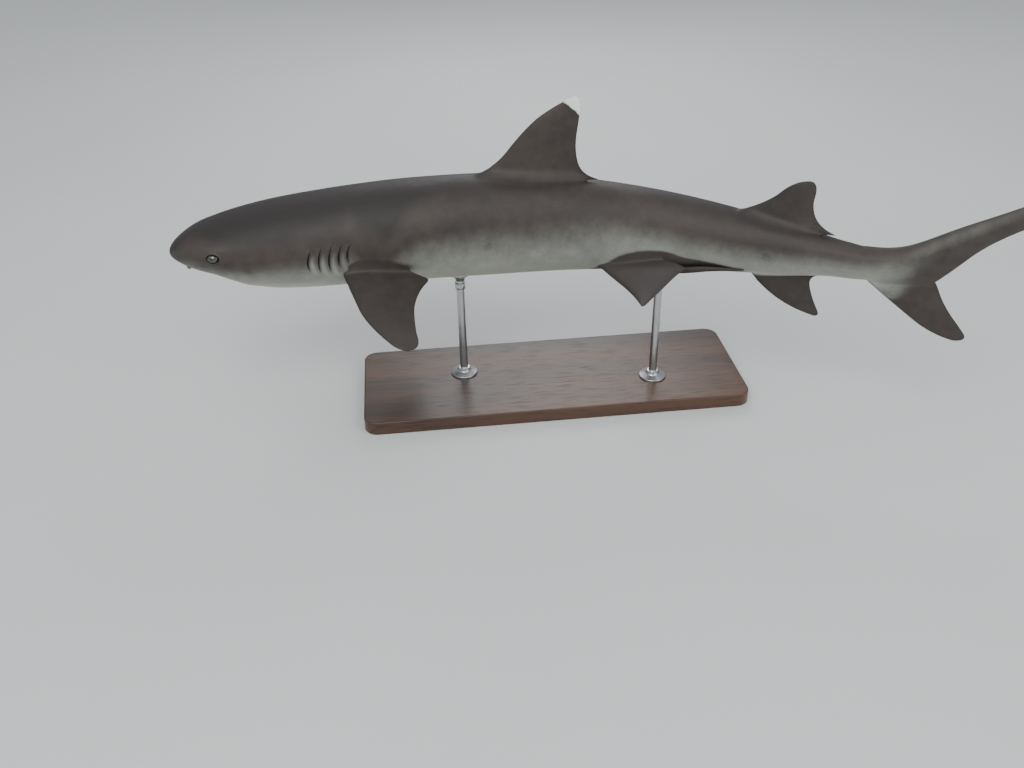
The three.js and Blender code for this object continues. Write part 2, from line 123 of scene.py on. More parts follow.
half_width = through(
    (0, 3.1), (2, 3.75), (4, 4.35), (6, 4.8), (8.5, 5.2), (12, 5.4), (16, 5.45), (20, 5.4), (27, 5.35),
    (35, 5.15), (42, 4.8), (48, 4.35), (55, 3.7), (62, 3.0), (69, 2.3), (74, 1.75), (77, 1.45), (81, 1.0),
    (86, 0.75), (92, 0.5), (100, 0.15),
)
belt = through((0, 0), (8, -0.2), (16, 0), (30, 0.3), (50, 0.2), (77, 0), (100, 0))
square_up = through((0, 2.2), (10, 2.2), (20, 2.05), (74, 2.0), (82, 1.6), (100, 1.5))
square_down = through((0, 2.5), (10, 2.5), (25, 2.15), (74, 2.0), (82, 1.25), (100, 1.2))

NOSE_ROUND = 4.2  # the length over which the snout rounds off
TAIL_ROUND = 1.6
TAIL_RISE = math.radians(33)  # the tail's axis turns up by this angle
EDGE = mm(0.45)  # half the thickness that thin edges keep

STEP = 0.25
axis_stations = np.arange(0, 100 + STEP, STEP)


def axis_rise(station):
    return TAIL_RISE * smooth(station, 73.5, 84)


rises = axis_rise(axis_stations[:-1] + STEP / 2)
axis_x = np.concatenate([[0], np.cumsum(STEP * np.cos(rises))])
axis_z = np.concatenate([[0], np.cumsum(STEP * np.sin(rises))])
print("the tail's tip rises", round(pc(axis_z[-1]), 3), "m above the snout")

# %% [markdown]
# A section of the body is a rounded ellipse. One function gives the point of the skin at a station along the body
# and an angle round it, so every row and column of the mesh knows where it belongs. The angles run from 90 at the
# back, over 180 at the left flank, to 270 at the belly.

# %% A point on the body
def power(value, exponent):
    return np.sign(value) * np.abs(value) ** exponent


def end_rounding(station):
    nose = np.clip(station / NOSE_ROUND, 0, 1)
    tail = np.clip((100 - station) / TAIL_ROUND, 0, 1)
    return np.sqrt(1 - (1 - nose) ** 2) * np.sqrt(1 - (1 - tail) ** 2)


def on_body(station, angle):
    """The place of the skin on the straight body, as an array of x, y, z."""
    station, angle = np.broadcast_arrays(np.asarray(station, float), np.radians(angle))
    across, up = np.cos(angle), np.sin(angle)
    across = np.where(np.abs(across) < TINY, 0, across)
    round_in = end_rounding(station)
    above = up > 0
    square = np.where(above, square_up(station), square_down(station))
    level = belt(station) * round_in
    reach = np.where(above, back(station) * round_in - level, level - belly(station) * round_in)
    y = pc(half_width(station) * round_in) * power(across, 2 / square)
    rim = EDGE * round_in * np.sign(across)
    y = np.where(np.abs(y) < np.abs(rim), rim, y)
    z = pc(level + reach * power(up, 2 / square))
    rise = axis_rise(station)
    x = pc(np.interp(station, axis_stations, axis_x)) - z * np.sin(rise)
    z = pc(np.interp(station, axis_stations, axis_z)) + z * np.cos(rise)
    return np.stack([x, y, z], axis=-1)


print("widest:", round(2 * float(-on_body(16, 180)[1]), 3), "m across")

# %% [markdown]
# A fin's outline lies in a plane: u goes towards the tail and v away from the body, both in percent. It is three
# lines. The front runs from the root to the tip. The inner line runs from the root to the free rear tip, which
# every shark fin has, and the rear runs on from there to the tip. Bends are drawn as quadratic curves, each with
# one control point, as in any drawing program.

# %% Lines and planes for the fins
def line(*bends, steps=40):
    """A polyline through a start point and bends of (control u, v, end u, v) or (end u, v), evenly spaced."""
    points = [np.array(bends[0], float)]
    for bend in bends[1:]:
        start, end = points[-1], np.array(bend[-2:], float)
        control = np.array(bend[:2], float) if len(bend) == 4 else (start + end) / 2
        for t in np.linspace(0, 1, steps)[1:]:
            points.append((1 - t) ** 2 * start + 2 * t * (1 - t) * control + t * t * end)
    return np.array(points)


def along(points, share):
    """The point at a share, 0 to 1, of a polyline's length."""
    lengths = np.concatenate([[0], np.cumsum(np.linalg.norm(np.diff(points, axis=0), axis=1))])
    at = share * lengths[-1]
    return np.stack([np.interp(at, lengths, points[:, k]) for k in range(points.shape[1])], axis=-1)


def upright(side):
    """Fins of the middle plane stand on the back, or with side -1 hang under the belly."""
    return lambda u, v, w: np.stack([pc(u), -w, pc(v) * side], axis=-1)


def paired(root, tilt, droop, lean):
    """Fins of the left side leave the body at a root point, tilt down, and droop towards the tip."""

    def place(u, v, w):
        out, back_along = pc(v), pc(u)
        down = out * math.sin(tilt) + droop * out * np.abs(out) / pc(16)
        return np.stack([
            root[0] + back_along,
            root[1] - out * math.cos(tilt) - w * math.sin(tilt),
            root[2] - down + w * math.cos(tilt) - back_along * math.sin(lean),
        ], axis=-1)

    return place


sample = line((0, 0), (1, 2, 3, 0))
print("half way along a bend of", len(sample), "points:", along(sample, 0.5).round(2))

# %% [markdown]
# Every fin has its three lines and a few sizes. The turn is the share of its height at which the inner line gives
# way to the rear one, and thick is half its thickness at the root, in percent. The angle says where round the body
# it stands, the slant how much the root turns with the station, and the hollow is the radius of the curve at the
# root. Around is given where the body is so thin that the fin changes more of it than usual. Paired fins are drawn
# for the left side, and the mirror makes the right one.

# %% Fin outlines
FINS = {
    "first_dorsal": dict(
        front=line((32.6, 6.0), (35.6, 6.9, 37.2, 8.9), (38.9, 11.1, 40.6, 12.55), (42.3, 13.8, 44.4, 14.8)),
        inner=line((44.6, 5.4), (45.7, 5.65, 47.3, 5.75)),
        rear=line((47.3, 5.75), (45.5, 6.1, 45.0, 7.4), (44.5, 8.9, 44.75, 10.9), (45.0, 12.6, 45.05, 13.6),
                  (45.1, 14.8, 44.4, 14.8)),
        turn=0.18, thick=0.55, place=upright(1), angle=90, rings=48, hollow=mm(24),
    ),
    "second_dorsal": dict(
        front=line((61.6, 3.4), (64.4, 4.2, 66.4, 5.95), (67.9, 7.75, 69.5, 7.8)),
        inner=line((69.8, 1.9), (71.2, 2.25, 72.9, 2.35)),
        rear=line((72.9, 2.35), (71.0, 2.9, 70.4, 4.3), (70.0, 5.3, 70.2, 6.3), (70.35, 7.8, 69.5, 7.8)),
        turn=0.22, thick=0.42, place=upright(1), angle=90, rings=38, hollow=mm(16),
    ),
    "anal": dict(
        front=line((63.8, 2.6), (65.6, 4.6, 67.7, 5.85), (69.8, 7.0, 72.0, 7.27)),
        inner=line((69.8, 2.0), (70.7, 2.3, 71.8, 2.45)),
        rear=line((71.8, 2.45), (70.7, 2.7, 71.05, 3.9), (71.5, 5.3, 72.2, 6.5), (72.6, 7.2, 72.0, 7.27)),
        turn=0.2, thick=0.4, place=upright(-1), angle=270, rings=34, hollow=mm(8),
    ),
    "lower_lobe": dict(
        front=line((75.6, 1.4), (79.2, 3.9, 82.3, 5.95), (84.3, 7.1, 86.2, 7.3)),
        inner=line((82.7, -0.2), (83.5, 1.4)),
        rear=line((83.5, 1.4), (84.3, 3.3, 85.9, 5.0), (86.8, 6.0, 87.15, 6.45), (87.5, 7.15, 86.2, 7.3)),
        turn=0.12, thick=0.24, place=upright(-1), angle=270, rings=34, hollow=mm(7), around=80,
    ),
    "pectoral": dict(
        front=line((-0.7, 0), (0.2, 3.0, 1.0, 5.95), (1.8, 8.4, 4.1, 11.2), (4.9, 12.2, 5.9, 12.2)),
        inner=line((5.0, -0.6), (7.0, -0.2, 8.85, 1.05)),
        rear=line((8.85, 1.05), (7.2, 2.9, 6.8, 5.9), (6.7, 7.8, 6.85, 9.8), (7.35, 12.1, 5.9, 12.2)),
        turn=0.12, thick=0.62, angle=204, rings=44, hollow=mm(11),
        place=paired(on_body(19.2, 204), math.radians(12), 0.02, math.radians(3)),
    ),
    "pelvic": dict(
        front=line((0.5, -0.5), (2.6, 1.5, 4.4, 2.95), (5.9, 4.15, 7.15, 5.6)),
        inner=line((5.6, -0.8), (8.4, -0.1, 11.95, 1.6)),
        rear=line((11.95, 1.6), (11.0, 2.1, 9.95, 3.3), (9.0, 4.3, 8.2, 5.0), (7.5, 5.85, 7.15, 5.6)),
        turn=0.16, thick=0.42, angle=215, slant=-22, rings=32, hollow=mm(8),
        place=paired(on_body(46.4, 222), math.radians(45), 0, math.radians(-12)),
    ),
}
print("fins:", ", ".join(FINS))

# %% [markdown]
# Two things are needed before a fin can be drawn out of the body. One is where its outline leaves the skin: the
# drawn lines start inside the body, so they are cut there. The other is the fin's thickness, fullest at a third of
# its chord and thin behind, like a wing.

# %% Where the fins leave the body
MIDDLE = (90, 270)  # the angles of the back and the belly
THICKEST = 0.3  # the share of its chord at which a fin is thickest
along_body = np.linspace(0, 99, 3961)


def outside(fin, points):
    """Whether points of a fin's sheet are outside the body."""
    x, y, z = points.T
    if fin["angle"] in MIDDLE:
        rim = on_body(np.linspace(25, 99, 600), fin["angle"])
        level = np.interp(x, rim[:, 0], rim[:, 2])
        return z > level if fin["angle"] == 90 else z < level
    station = x / LENGTH * 100
    level = pc(belt(station))
    square = np.where(z > level, square_up(station), square_down(station))
    reach = np.where(z > level, pc(back(station)) - level, level - pc(belly(station)))
    return np.abs(y / pc(half_width(station))) ** square + np.abs((z - level) / reach) ** square > 1


def cut_at_skin(fin, points):
    """The part of a drawn line that is outside the body."""
    points = along(points, np.linspace(0, 1, 400))
    first = int(np.argmax(outside(fin, fin["place"](*points.T, np.zeros(400)))))
    return points[max(first - 1, 0):]


for name, fin in FINS.items():
    fin["front"] = cut_at_skin(fin, fin["front"])
    fin["inner"] = cut_at_skin(fin, fin["inner"])
    ends = [fin["place"](*fin[edge][:1].T, np.zeros(1))[0, 0] for edge in ("front", "inner")]
    fin["stations"] = np.interp(ends, on_body(along_body, fin["angle"])[:, 0], along_body).tolist()
    print(name, "leaves the body from", round(fin["stations"][0], 1), "to", round(fin["stations"][1], 1), "%")


def on_sheet(fin, span, chord):
    """The place on a fin's outline plane: span 0 to 1 from root to tip, chord 0 to 1 from front to rear."""
    front = along(fin["front"], span)
    near = along(fin["inner"], np.clip(span / fin["turn"], 0, 1))
    far = along(fin["rear"], np.clip((span - fin["turn"]) / (1 - fin["turn"]), 0, 1))
    rear = np.where((span < fin["turn"])[:, None], near, far)
    return front + (rear - front) * chord[:, None]


def half_thick(fin, span, chord):
    nose = np.sqrt(1 - (1 - np.clip(chord / THICKEST, 0, 1)) ** 2)
    along_chord = np.where(chord < THICKEST, nose, 1 - smooth(chord, THICKEST, 1.05))
    out = (1 - np.clip(span, 0, 1)) ** 0.75
    return np.maximum(pc(fin["thick"]) * along_chord * (0.16 + 0.84 * out), EDGE)


# %% [markdown]
# The skin starts as a flat grid of the left half: rows along the body, columns from the back to the belly. Rows lie
# closer at the snout, where the body rounds in, and at the tail's tip. Each point carries its station, its angle
# as a sine and cosine, and, later, its place on a fin. Those numbers travel with the points when faces are
# extruded or cut, so the shape can be worked out again at any time, however fine the mesh has become.

# %% The grid for the left half
COLUMNS = 48
stations = np.concatenate([
    4.2 * np.linspace(0, 1, 25)[:-1] ** 2,
    np.linspace(4.2, 13.2, 37)[:-1],
    np.linspace(13.2, 20.6, 31)[:-1],
    np.linspace(20.6, 73.5, 119)[:-1],
    np.linspace(73.5, 97.5, 61)[:-1],
    100 - 2.5 * np.linspace(1, 0, 14) ** 2,
])
FIELDS = ("station", "sine", "cosine", "fin", "span", "chord", "side")


def start_new():
    """Nothing selected, so that the next operator acts on nothing old."""
    bpy.ops.object.select_all(action="DESELECT")


start_new()
bpy.ops.mesh.primitive_grid_add(x_subdivisions=len(stations) - 1, y_subdivisions=COLUMNS, size=2)
skin = bpy.context.object
skin.name = "shark_skin"


def read_all(items, name, width=3):
    """A vector, or with width 1 a number, of every point or face of a mesh."""
    values = np.empty(len(items) * width)
    items.foreach_get(name, values)
    return values.reshape(-1, width) if width > 1 else values


def read_points(obj):
    return read_all(obj.data.vertices, "co")


def write_points(obj, points):
    obj.data.vertices.foreach_set("co", np.asarray(points, float).ravel())
    obj.data.update()


def read_fields():
    return [read_all(skin.data.attributes[name].data, "value", 1) for name in FIELDS]


def write_field(name, values):
    layer = skin.data.attributes.get(name) or skin.data.attributes.new(name, "FLOAT", "POINT")
    layer.data.foreach_set("value", np.asarray(values, float))


def write_places(obj, name, places):
    layer = obj.data.attributes.new(name, "FLOAT_VECTOR", "POINT")
    layer.data.foreach_set("vector", places.ravel())


flat = read_points(skin)
rows = np.rint((flat[:, 0] + 1) / 2 * (len(stations) - 1)).astype(int)
angles = 90 + 90 * (flat[:, 1] + 1)
known = dict(station=stations[rows], sine=np.sin(np.radians(angles)), cosine=np.cos(np.radians(angles)))
for field in FIELDS:
    write_field(field, known.get(field, np.zeros(len(flat))))
print("grid:", len(stations), "rows of", COLUMNS + 1, "points")

# %% [markdown]
# A clasper and a nasal flap are rods of flesh. The claspers are the pair behind the pelvic fins that tell a male.
# The flaps hang in front of the nostrils and look like short tubes. Each is a disc that travels along a path: it
# starts flat on the skin and turns as it goes, so the rod leaves the body at a right angle and then lies back.

# %% Rods of flesh
OUT = Vector((0, math.cos(math.radians(230)), math.sin(math.radians(230))))  # away from the lower left flank
clasper_radius = through((0, 0.4), (0.15, 0.5), (0.55, 0.48), (0.8, 0.3), (1, 0.08))
clasper_angle = through((0, 230), (0.45, 222), (0.7, 216), (1, 222))
flap_radius = through((0, 4.6), (0.4, 4.1), (0.7, 3.2), (0.92, 1.8), (1, 0.8))
flap_way = Vector((0.545, -0.309, -0.779)).normalized()


def clasper_disc(share):
    """Centre, radius and the disc's two directions at a share of the clasper."""
    radius = pc(clasper_radius(share))
    turned = math.pi / 2 * smooth(share, 0, 0.12)
    lift = 0.8 * radius * smooth(share, 0, 0.08)
    centre = on_body(51.25 + 12.95 * share, clasper_angle(share)) + lift[:, None] * np.array(OUT)
    backwards = np.cos(turned)[:, None] * np.array((1, 0, 0)) - np.sin(turned)[:, None] * np.array(OUT)
    down = np.array((0, -OUT.z, OUT.y)) + 0 * backwards
    return centre, radius, backwards, down


def flap_disc(share):
    centre = on_body(2.115, 232) + share[:, None] * mm(5.4) * np.array(flap_way)
    backwards = (Vector((1, 0, 0)) - flap_way * flap_way.x).normalized()
    down = flap_way.cross(backwards)
    flat = 0.75 if down.z < 0 else -0.75
    return centre, mm(flap_radius(share)), np.array(backwards) + 0 * centre, flat * np.array(down) + 0 * centre


RODS = {
    "clasper": dict(disc=clasper_disc, stations=(50.65, 51.9), middle=236.25, rings=30, joining=0.08, bunch=1.5),
    "nasal_flap": dict(disc=flap_disc, stations=(1.87, 2.36), middle=232.5, rings=7, joining=0.45, bunch=1.0),
}

# %% [markdown]
# Every fin and rod is drawn out of a patch of faces at its root. The patch is selected by station and angle and
# extruded once for each ring, and each ring only notes how far out it stands. Where it really goes is worked out
# later. Extruding keeps one closed skin, where a fin modelled apart would leave a crease to hide.

# %% Draw the fins out of the skin
COLUMN = 90 * 2 / COLUMNS  # degrees from one column of the grid to the next
PATCH = 2 * COLUMN  # degrees on either side of a fin's root


def degrees_from(sine, cosine, middle):
    """Angles measured from a middle one, between -180 and 180."""
    turn = np.degrees(np.arctan2(sine, cosine)) - middle
    return (turn + 180) % 360 - 180


def mode(name):
    bpy.ops.object.mode_set(mode=name)


def grow(number, piece, rings):
    """Extrudes the patch at a piece's root once for each ring."""
    first, last = piece["patch"]
    mode("EDIT")
    bpy.ops.mesh.select_all(action="DESELECT")
    mesh = bmesh.from_edit_mesh(skin.data)
    layer = {name: mesh.verts.layers.float[name] for name in FIELDS}
    inside = {}
    for point in mesh.verts:
        turn = float(degrees_from(point[layer["sine"]], point[layer["cosine"]], piece["middle"]))
        share = (point[layer["station"]] - first) / (last - first)
        if -TINY < share < 1 + TINY and abs(turn) < piece["half"] + 0.01 and point[layer["span"]] == 0:
            inside[point] = (share, piece["sign"] * turn / piece["half"])
    for face in mesh.faces:
        face.select = all(point in inside for point in face.verts)
        if face.select:
            for point in face.verts:
                point[layer["fin"]] = number
                point[layer["chord"]], point[layer["side"]] = inside[point]
    bmesh.update_edit_mesh(skin.data)
    for ring in rings:
        bpy.ops.mesh.extrude_region_move(TRANSFORM_OT_translate={"value": (0, 0, 0)})
        mesh = bmesh.from_edit_mesh(skin.data)
        span = mesh.verts.layers.float["span"]
        for point in mesh.verts:
            if point.select:
                point[span] = ring
    mode("OBJECT")


for fin in FINS.values():
    fin.update(middle=round(fin["angle"] / COLUMN) * COLUMN, half=PATCH, sign=1 if fin["angle"] == 90 else -1)
for rod in RODS.values():
    rod.update(half=COLUMN, sign=1)
PIECES = {**FINS, **RODS}
for number, (name, piece) in enumerate(PIECES.items(), start=1):
    piece["patch"] = [float(stations[np.argmin(np.abs(stations - station))]) for station in piece["stations"]]
    share = np.linspace(0, 1, piece["rings"] + 1)[1:]
    crowded = 0.992 * (share - 0.13 * np.sin(2 * math.pi * share))  # closer at a fin's root and tip
    grow(number, piece, crowded if name in FINS else share ** piece["bunch"])
    print(name, "rooted from", round(piece["patch"][0], 2), "to", round(piece["patch"][1], 2))

# %% [markdown]
# Extruding a patch on the middle line also makes a wall of faces in the middle plane, inside the future fin. All
# their points have a cosine of nothing, which tells them from the rest, and they are removed. What is left of the
# middle plane is the open edge that the mirror will close.

# %% Clear the middle plane
mode("EDIT")
mesh = bmesh.from_edit_mesh(skin.data)
cosine = mesh.verts.layers.float["cosine"]
for face in mesh.faces:
    face.select = all(abs(point[cosine]) < TINY for point in face.verts)
bmesh.update_edit_mesh(skin.data)
bpy.ops.mesh.delete(type="FACE")
mode("OBJECT")
print("left half:", len(skin.data.polygons), "faces")

# %% [markdown]
# Now every point can be put in its place. A point of the body takes the place of its station and angle. Close to a
# fin the columns are drawn together, so that the patch at the root is as wide as the fin is thick there, plus a
# little for the hollow curve where fin and body meet.

# %% Draw the columns together at the fins
DRAWN_FROM = 50  # degrees on either side of a fin within which the columns are drawn together
FADE = 3  # percent of the length over which this fades, before and behind the fin
EDGE_SHARE = 0.02  # the share of the chord that the rounded front and rear edges take


def settled(station, angle):
    """A body angle with the columns drawn together at the roots of the fins."""
    for fin in FINS.values():
        first, last = fin["patch"]
        share = np.clip((station - first) / (last - first), 0, 1)
        wide = half_thick(fin, 0 * share, EDGE_SHARE + (1 - 2 * EDGE_SHARE) * share)
        wide = wide + fin["hollow"] * np.sqrt(np.sin(math.pi * (0.1 + 0.8 * share)))
        if fin["angle"] in MIDDLE:
            square = square_up(station) if fin["angle"] == 90 else square_down(station)
            half = np.degrees(np.arcsin(np.clip(wide / pc(half_width(station)), 0, 0.8) ** (square / 2)))
        else:
            beside = on_body(station, fin["angle"] + 1) - on_body(station, fin["angle"] - 1)
            half = wide / np.maximum(np.linalg.norm(beside, axis=-1) / 2, TINY)
        around = fin.get("around", DRAWN_FROM)
        half = np.clip(half, 2, 0.75 * around)
        turn = angle - fin["middle"]
        away = np.abs(turn)
        outer = half + (away - PATCH) * (around - half) / (around - PATCH)
        drawn = np.where(away < PATCH, away / PATCH * half, np.where(away < around, outer, away))
        near = within(station, first - FADE, first, last, last + FADE)
        aim = fin["angle"] + fin.get("slant", 0) * (share - 0.5) - fin["middle"]
        angle = angle + near * (np.sign(turn) * drawn - turn + aim * (1 - smooth(away, PATCH, around)))
    return angle


middle_of_fin = np.mean(FINS["first_dorsal"]["patch"])
print("the first dorsal fin's root is", round(2 * float(settled(middle_of_fin, 90 + PATCH)) - 180, 1), "degrees wide")

# %% [markdown]
# A point of a fin lies on the fin's sheet, moved to one side by half the thickness. Near the root it is pulled
# towards its own point on the body, so the two join without a step. The hollow curve is an arc that starts level
# with the round of the body and ends upright on the fin, the way putty is drawn along a joint with a thumb. How far
# up the arc a point lies is its true height above the line of the root. A point of a rod lies on its travelling disc.

# %% Put every point in its place
JOINING = mm(30)  # how far out the fin's middle is pulled towards its root
FREE_FROM = 1.5  # percent before the root's rear end, from where the fin comes free of the body


def on_fin(fin, span, chord, side):
    """The place of a point of a fin, from its share of the span and chord and the side it is on."""
    first, last = fin["patch"]
    at_end = (chord < TINY) | (chord > 1 - TINY)
    run = (1 - chord) * EDGE_SHARE * side**2 + chord * (1 - EDGE_SHARE + EDGE_SHARE * (1 - side**2))
    lean = np.where(at_end, np.sign(side), side)
    root_station = first + (last - first) * chord

    def centre(out):
        return fin["place"](*on_sheet(fin, out, run).T, 0 * out)

    def on_root(across):
        return on_body(root_station, settled(root_station, fin["middle"] + fin["sign"] * PATCH * across))

    root_middle = on_root(0 * side)
    thickness = half_thick(fin, span, run)
    u, v = on_sheet(fin, span, run).T
    sideways = fin["place"](u, v, thickness * lean) - centre(span)
    starts = np.stack([fin["front"][0], fin["inner"][0]])
    rise = pc(np.maximum(v - np.interp(u, starts[:, 0], starts[:, 1]), 0))
    reach = span * pc(np.linalg.norm(np.diff(fin["front"], axis=0), axis=1).sum())
    behind = np.maximum(u - starts[1, 0] + FREE_FROM, 0)
    height = rise + np.minimum(reach, pc(0.35 * behind**2))
    pull = np.clip(1 - reach / JOINING, 0, 1) ** 3
    hollow = 1 - np.sqrt(1 - np.clip(1 - height / fin["hollow"], 0, 1) ** 2)
    wide = np.maximum(np.linalg.norm(on_root(np.sign(side) + (side == 0)) - root_middle, axis=-1), TINY)
    across = side * (hollow + (1 - hollow) * np.minimum(thickness / wide, 1))
    spread = on_root(across) - root_middle
    like_root = 1 - smooth(height, 0, fin["hollow"])
    shift = (root_middle - centre(0 * span)) * pull[:, None]
    return centre(span) + shift + spread * like_root[:, None] + sideways * (1 - like_root[:, None])


def on_rod(rod, share, chord, side):
    """The place of a point of a rod: the square patch becomes a round disc, carried along the rod's path."""
    first, last = rod["patch"]
    a, b = 2 * chord - 1, side
    across, down = (a * np.sqrt(1 - b**2 / 2))[:, None], (b * np.sqrt(1 - a**2 / 2))[:, None]

    def unjoined(out):
        centre, radius, one, other = rod["disc"](out)
        return centre + np.reshape(radius, (-1, 1)) * (across * one + down * other)

    root_station = first + (last - first) * chord
    root = on_body(root_station, settled(root_station, rod["middle"] + rod["half"] * side))
    pull = np.clip(1 - share / rod["joining"], 0, 1) ** 3
    return unjoined(share) + (root - unjoined(0 * share)) * pull[:, None]


def place_all():
    station, sine, cosine, number, span, chord, side = read_fields()
    angle = np.degrees(np.arctan2(sine, cosine)) % 360
    points = on_body(station, settled(station, angle))
    for index, (name, piece) in enumerate(PIECES.items(), start=1):
        mine = (span > TINY) & (np.abs(number - index) < 0.5)
        place = on_fin if name in FINS else on_rod
        points[mine] = place(piece, span[mine], chord[mine], side[mine])
    points[np.abs(cosine) < TINY, 1] = 0
    write_points(skin, points)


place_all()
print("placed", len(skin.data.vertices), "points")

# %% [markdown]
# The head has the animal's details: an eye low on its side, a nostril, five gill slits and an arched mouth. Each is
# given here by its place on the straight shark, and by a function that tells for any point how far it lies from the
# detail's line. The same functions later choose the faces to cut, press the details in and paint shade into their
# hollows.

# %% Where the details of the head lie
GILLS = [  # the station, height and level of each slit
    (15.0, 2.6, -0.1), (16.15, 3.0, -0.1), (17.25, 3.2, -0.05), (18.3, 2.7, 0.2), (19.25, 2.2, 0.45),
]
GILL_BOW, GILL_LEAN = mm(5), mm(2.5)  # how far a slit's ends lie behind its middle, and how far its top leans back
EYE_STATION, EYE_ANGLE = 5.1, 168
EYE_HALF = Vector((mm(11.5), mm(9), mm(8.5)))
EYE_SINK = mm(6.5)
EYE_TURN = -14  # degrees; the eyes look a little forwards
LIDS_HALF = mm(10.3), mm(6.8)  # half the length and half the height of the opening between the lids
MOUTH_FRONT, MOUTH_BACK, MOUTH_HALF = 3.1, 5.3, 4.1
MOUTH_BOW = 2.3  # how squarely the mouth's line turns back at the sides
NOSTRIL = on_body(2.75, 229)

eye_surface = on_body(EYE_STATION, EYE_ANGLE)
eye_out = np.cross(on_body(EYE_STATION, EYE_ANGLE + 1) - on_body(EYE_STATION, EYE_ANGLE - 1),
                   on_body(EYE_STATION + 0.3, EYE_ANGLE) - on_body(EYE_STATION - 0.3, EYE_ANGLE))
eye_out = eye_out / np.linalg.norm(eye_out)
eye_out = -eye_out if eye_out[1] > 0 else eye_out
eye_along = np.cross((0, 0, 1), eye_out)
eye_along = eye_along / np.linalg.norm(eye_along)
eye_up = np.cross(eye_out, eye_along)
print("the eye looks out along", eye_out.round(2))


def gill_place(points, gill):
    """Distance behind a slit's line, and share of its half height from the middle."""
    station, height, level = gill
    t = (points[:, 2] - pc(level)) / (pc(height) / 2)
    return points[:, 0] - pc(station) - GILL_BOW * t**2 - GILL_LEAN * t, t


def mouth_place(points):
    """Distance behind the mouth's line, and share of its half width from the middle."""
    share = np.abs(points[:, 1]) / pc(MOUTH_HALF)
    slope = MOUTH_BACK / MOUTH_HALF * MOUTH_BOW * share ** (MOUTH_BOW - 1)
    behind = points[:, 0] - pc(MOUTH_FRONT) - pc(MOUTH_BACK) * share**MOUTH_BOW
    return behind / np.sqrt(1 + slope**2), share


def eye_place(points):
    """Place in the eye's opening, 1 at the rim, and the two directions, forwards and up."""
    offset = points - eye_surface
    forwards, up = -(offset @ eye_along), offset @ eye_up
    return np.hypot(forwards / LIDS_HALF[0], up / LIDS_HALF[1]), forwards, up


print("gill slits from", GILLS[0][0], "to", GILLS[-1][0], "%, the mouth is", round(2 * pc(MOUTH_HALF), 3), "m wide")

# %% [markdown]
# The head needs finer faces than the rest. They could be fine everywhere, but then the mesh would be many times
# larger. So faces are chosen by their distance from the lines of the details, and cut in four, once or more. The new
# points take the mean of their neighbours' numbers, and putting all points in their place again makes them round.

# %% Cut the head's faces finer
def refine(title, wanted):
    """Cuts the chosen faces in four and puts all points in their place again."""
    mode("EDIT")
    bpy.ops.mesh.select_mode(type="FACE")
    bpy.ops.mesh.select_all(action="DESELECT")
    mode("OBJECT")
    skin.data.polygons.foreach_set("select", wanted(read_all(skin.data.polygons, "center")))
    mode("EDIT")
    bpy.ops.mesh.subdivide(number_cuts=1)
    bpy.ops.mesh.select_mode(type="VERT")
    mode("OBJECT")
    place_all()
    print(title + ":", len(skin.data.polygons), "faces")


def of_head(points):
    x, y, z = points.T
    return (x > pc(0.5)) & (x < pc(21)) & (z < pc(3.4)) & ((y < -mm(25)) | (z < 0)) & (y > -pc(6))


def of_details(points, wide):
    x, y, z = points.T
    chosen = (eye_place(points)[0] < 1.9) & (y < -mm(30))
    chosen |= np.linalg.norm(points - NOSTRIL, axis=1) < mm(13)
    for gill in GILLS:
        behind, t = gill_place(points, gill)
        chosen |= (np.abs(behind) < wide) & (np.abs(t) < 1.15) & (y < -mm(40))
    behind, share = mouth_place(points)
    return chosen | (np.abs(behind) < wide) & (share < 1.06) & (z < -mm(8))


def of_rims(points):
    chosen = (np.abs(eye_place(points)[0] - 1) < 0.35) & (points[:, 1] < -mm(30))
    for gill in GILLS:
        behind, t = gill_place(points, gill)
        chosen |= (np.abs(behind - mm(0.5)) < mm(2.2)) & (np.abs(t) < 1.05) & (points[:, 1] < -mm(40))
    return chosen


refine("head", of_head)
refine("details", lambda points: of_details(points, mm(7.5)))
refine("rims", of_rims)

# %% [markdown]
# The left half is now finished, and a Mirror modifier makes the right one and joins them along the middle plane.
# The creases that the extrusions left at the roots of the fins are then smoothed a few times, as with a wet thumb.

# %% Mirror the half and smooth the roots
MERGE = mm(0.01)
ROOT_STRIP = 0.8  # how far before and behind a fin the skin is smoothed

start_new()
skin.select_set(True)
bpy.context.view_layer.objects.active = skin
bpy.ops.object.modifier_add(type="MIRROR")
mirror = skin.modifiers[-1]
mirror.use_axis = (False, True, False)
mirror.merge_threshold = MERGE
bpy.ops.object.modifier_apply(modifier=mirror.name)


def point_outwards():
    """In edit mode, turns every face of a closed piece to the outside."""
    bpy.ops.mesh.select_all(action="SELECT")
    bpy.ops.mesh.normals_make_consistent(inside=False)


mode("EDIT")
bpy.ops.mesh.select_all(action="SELECT")
bpy.ops.mesh.remove_doubles(threshold=MERGE)
point_outwards()
bpy.ops.mesh.select_all(action="DESELECT")
mode("OBJECT")

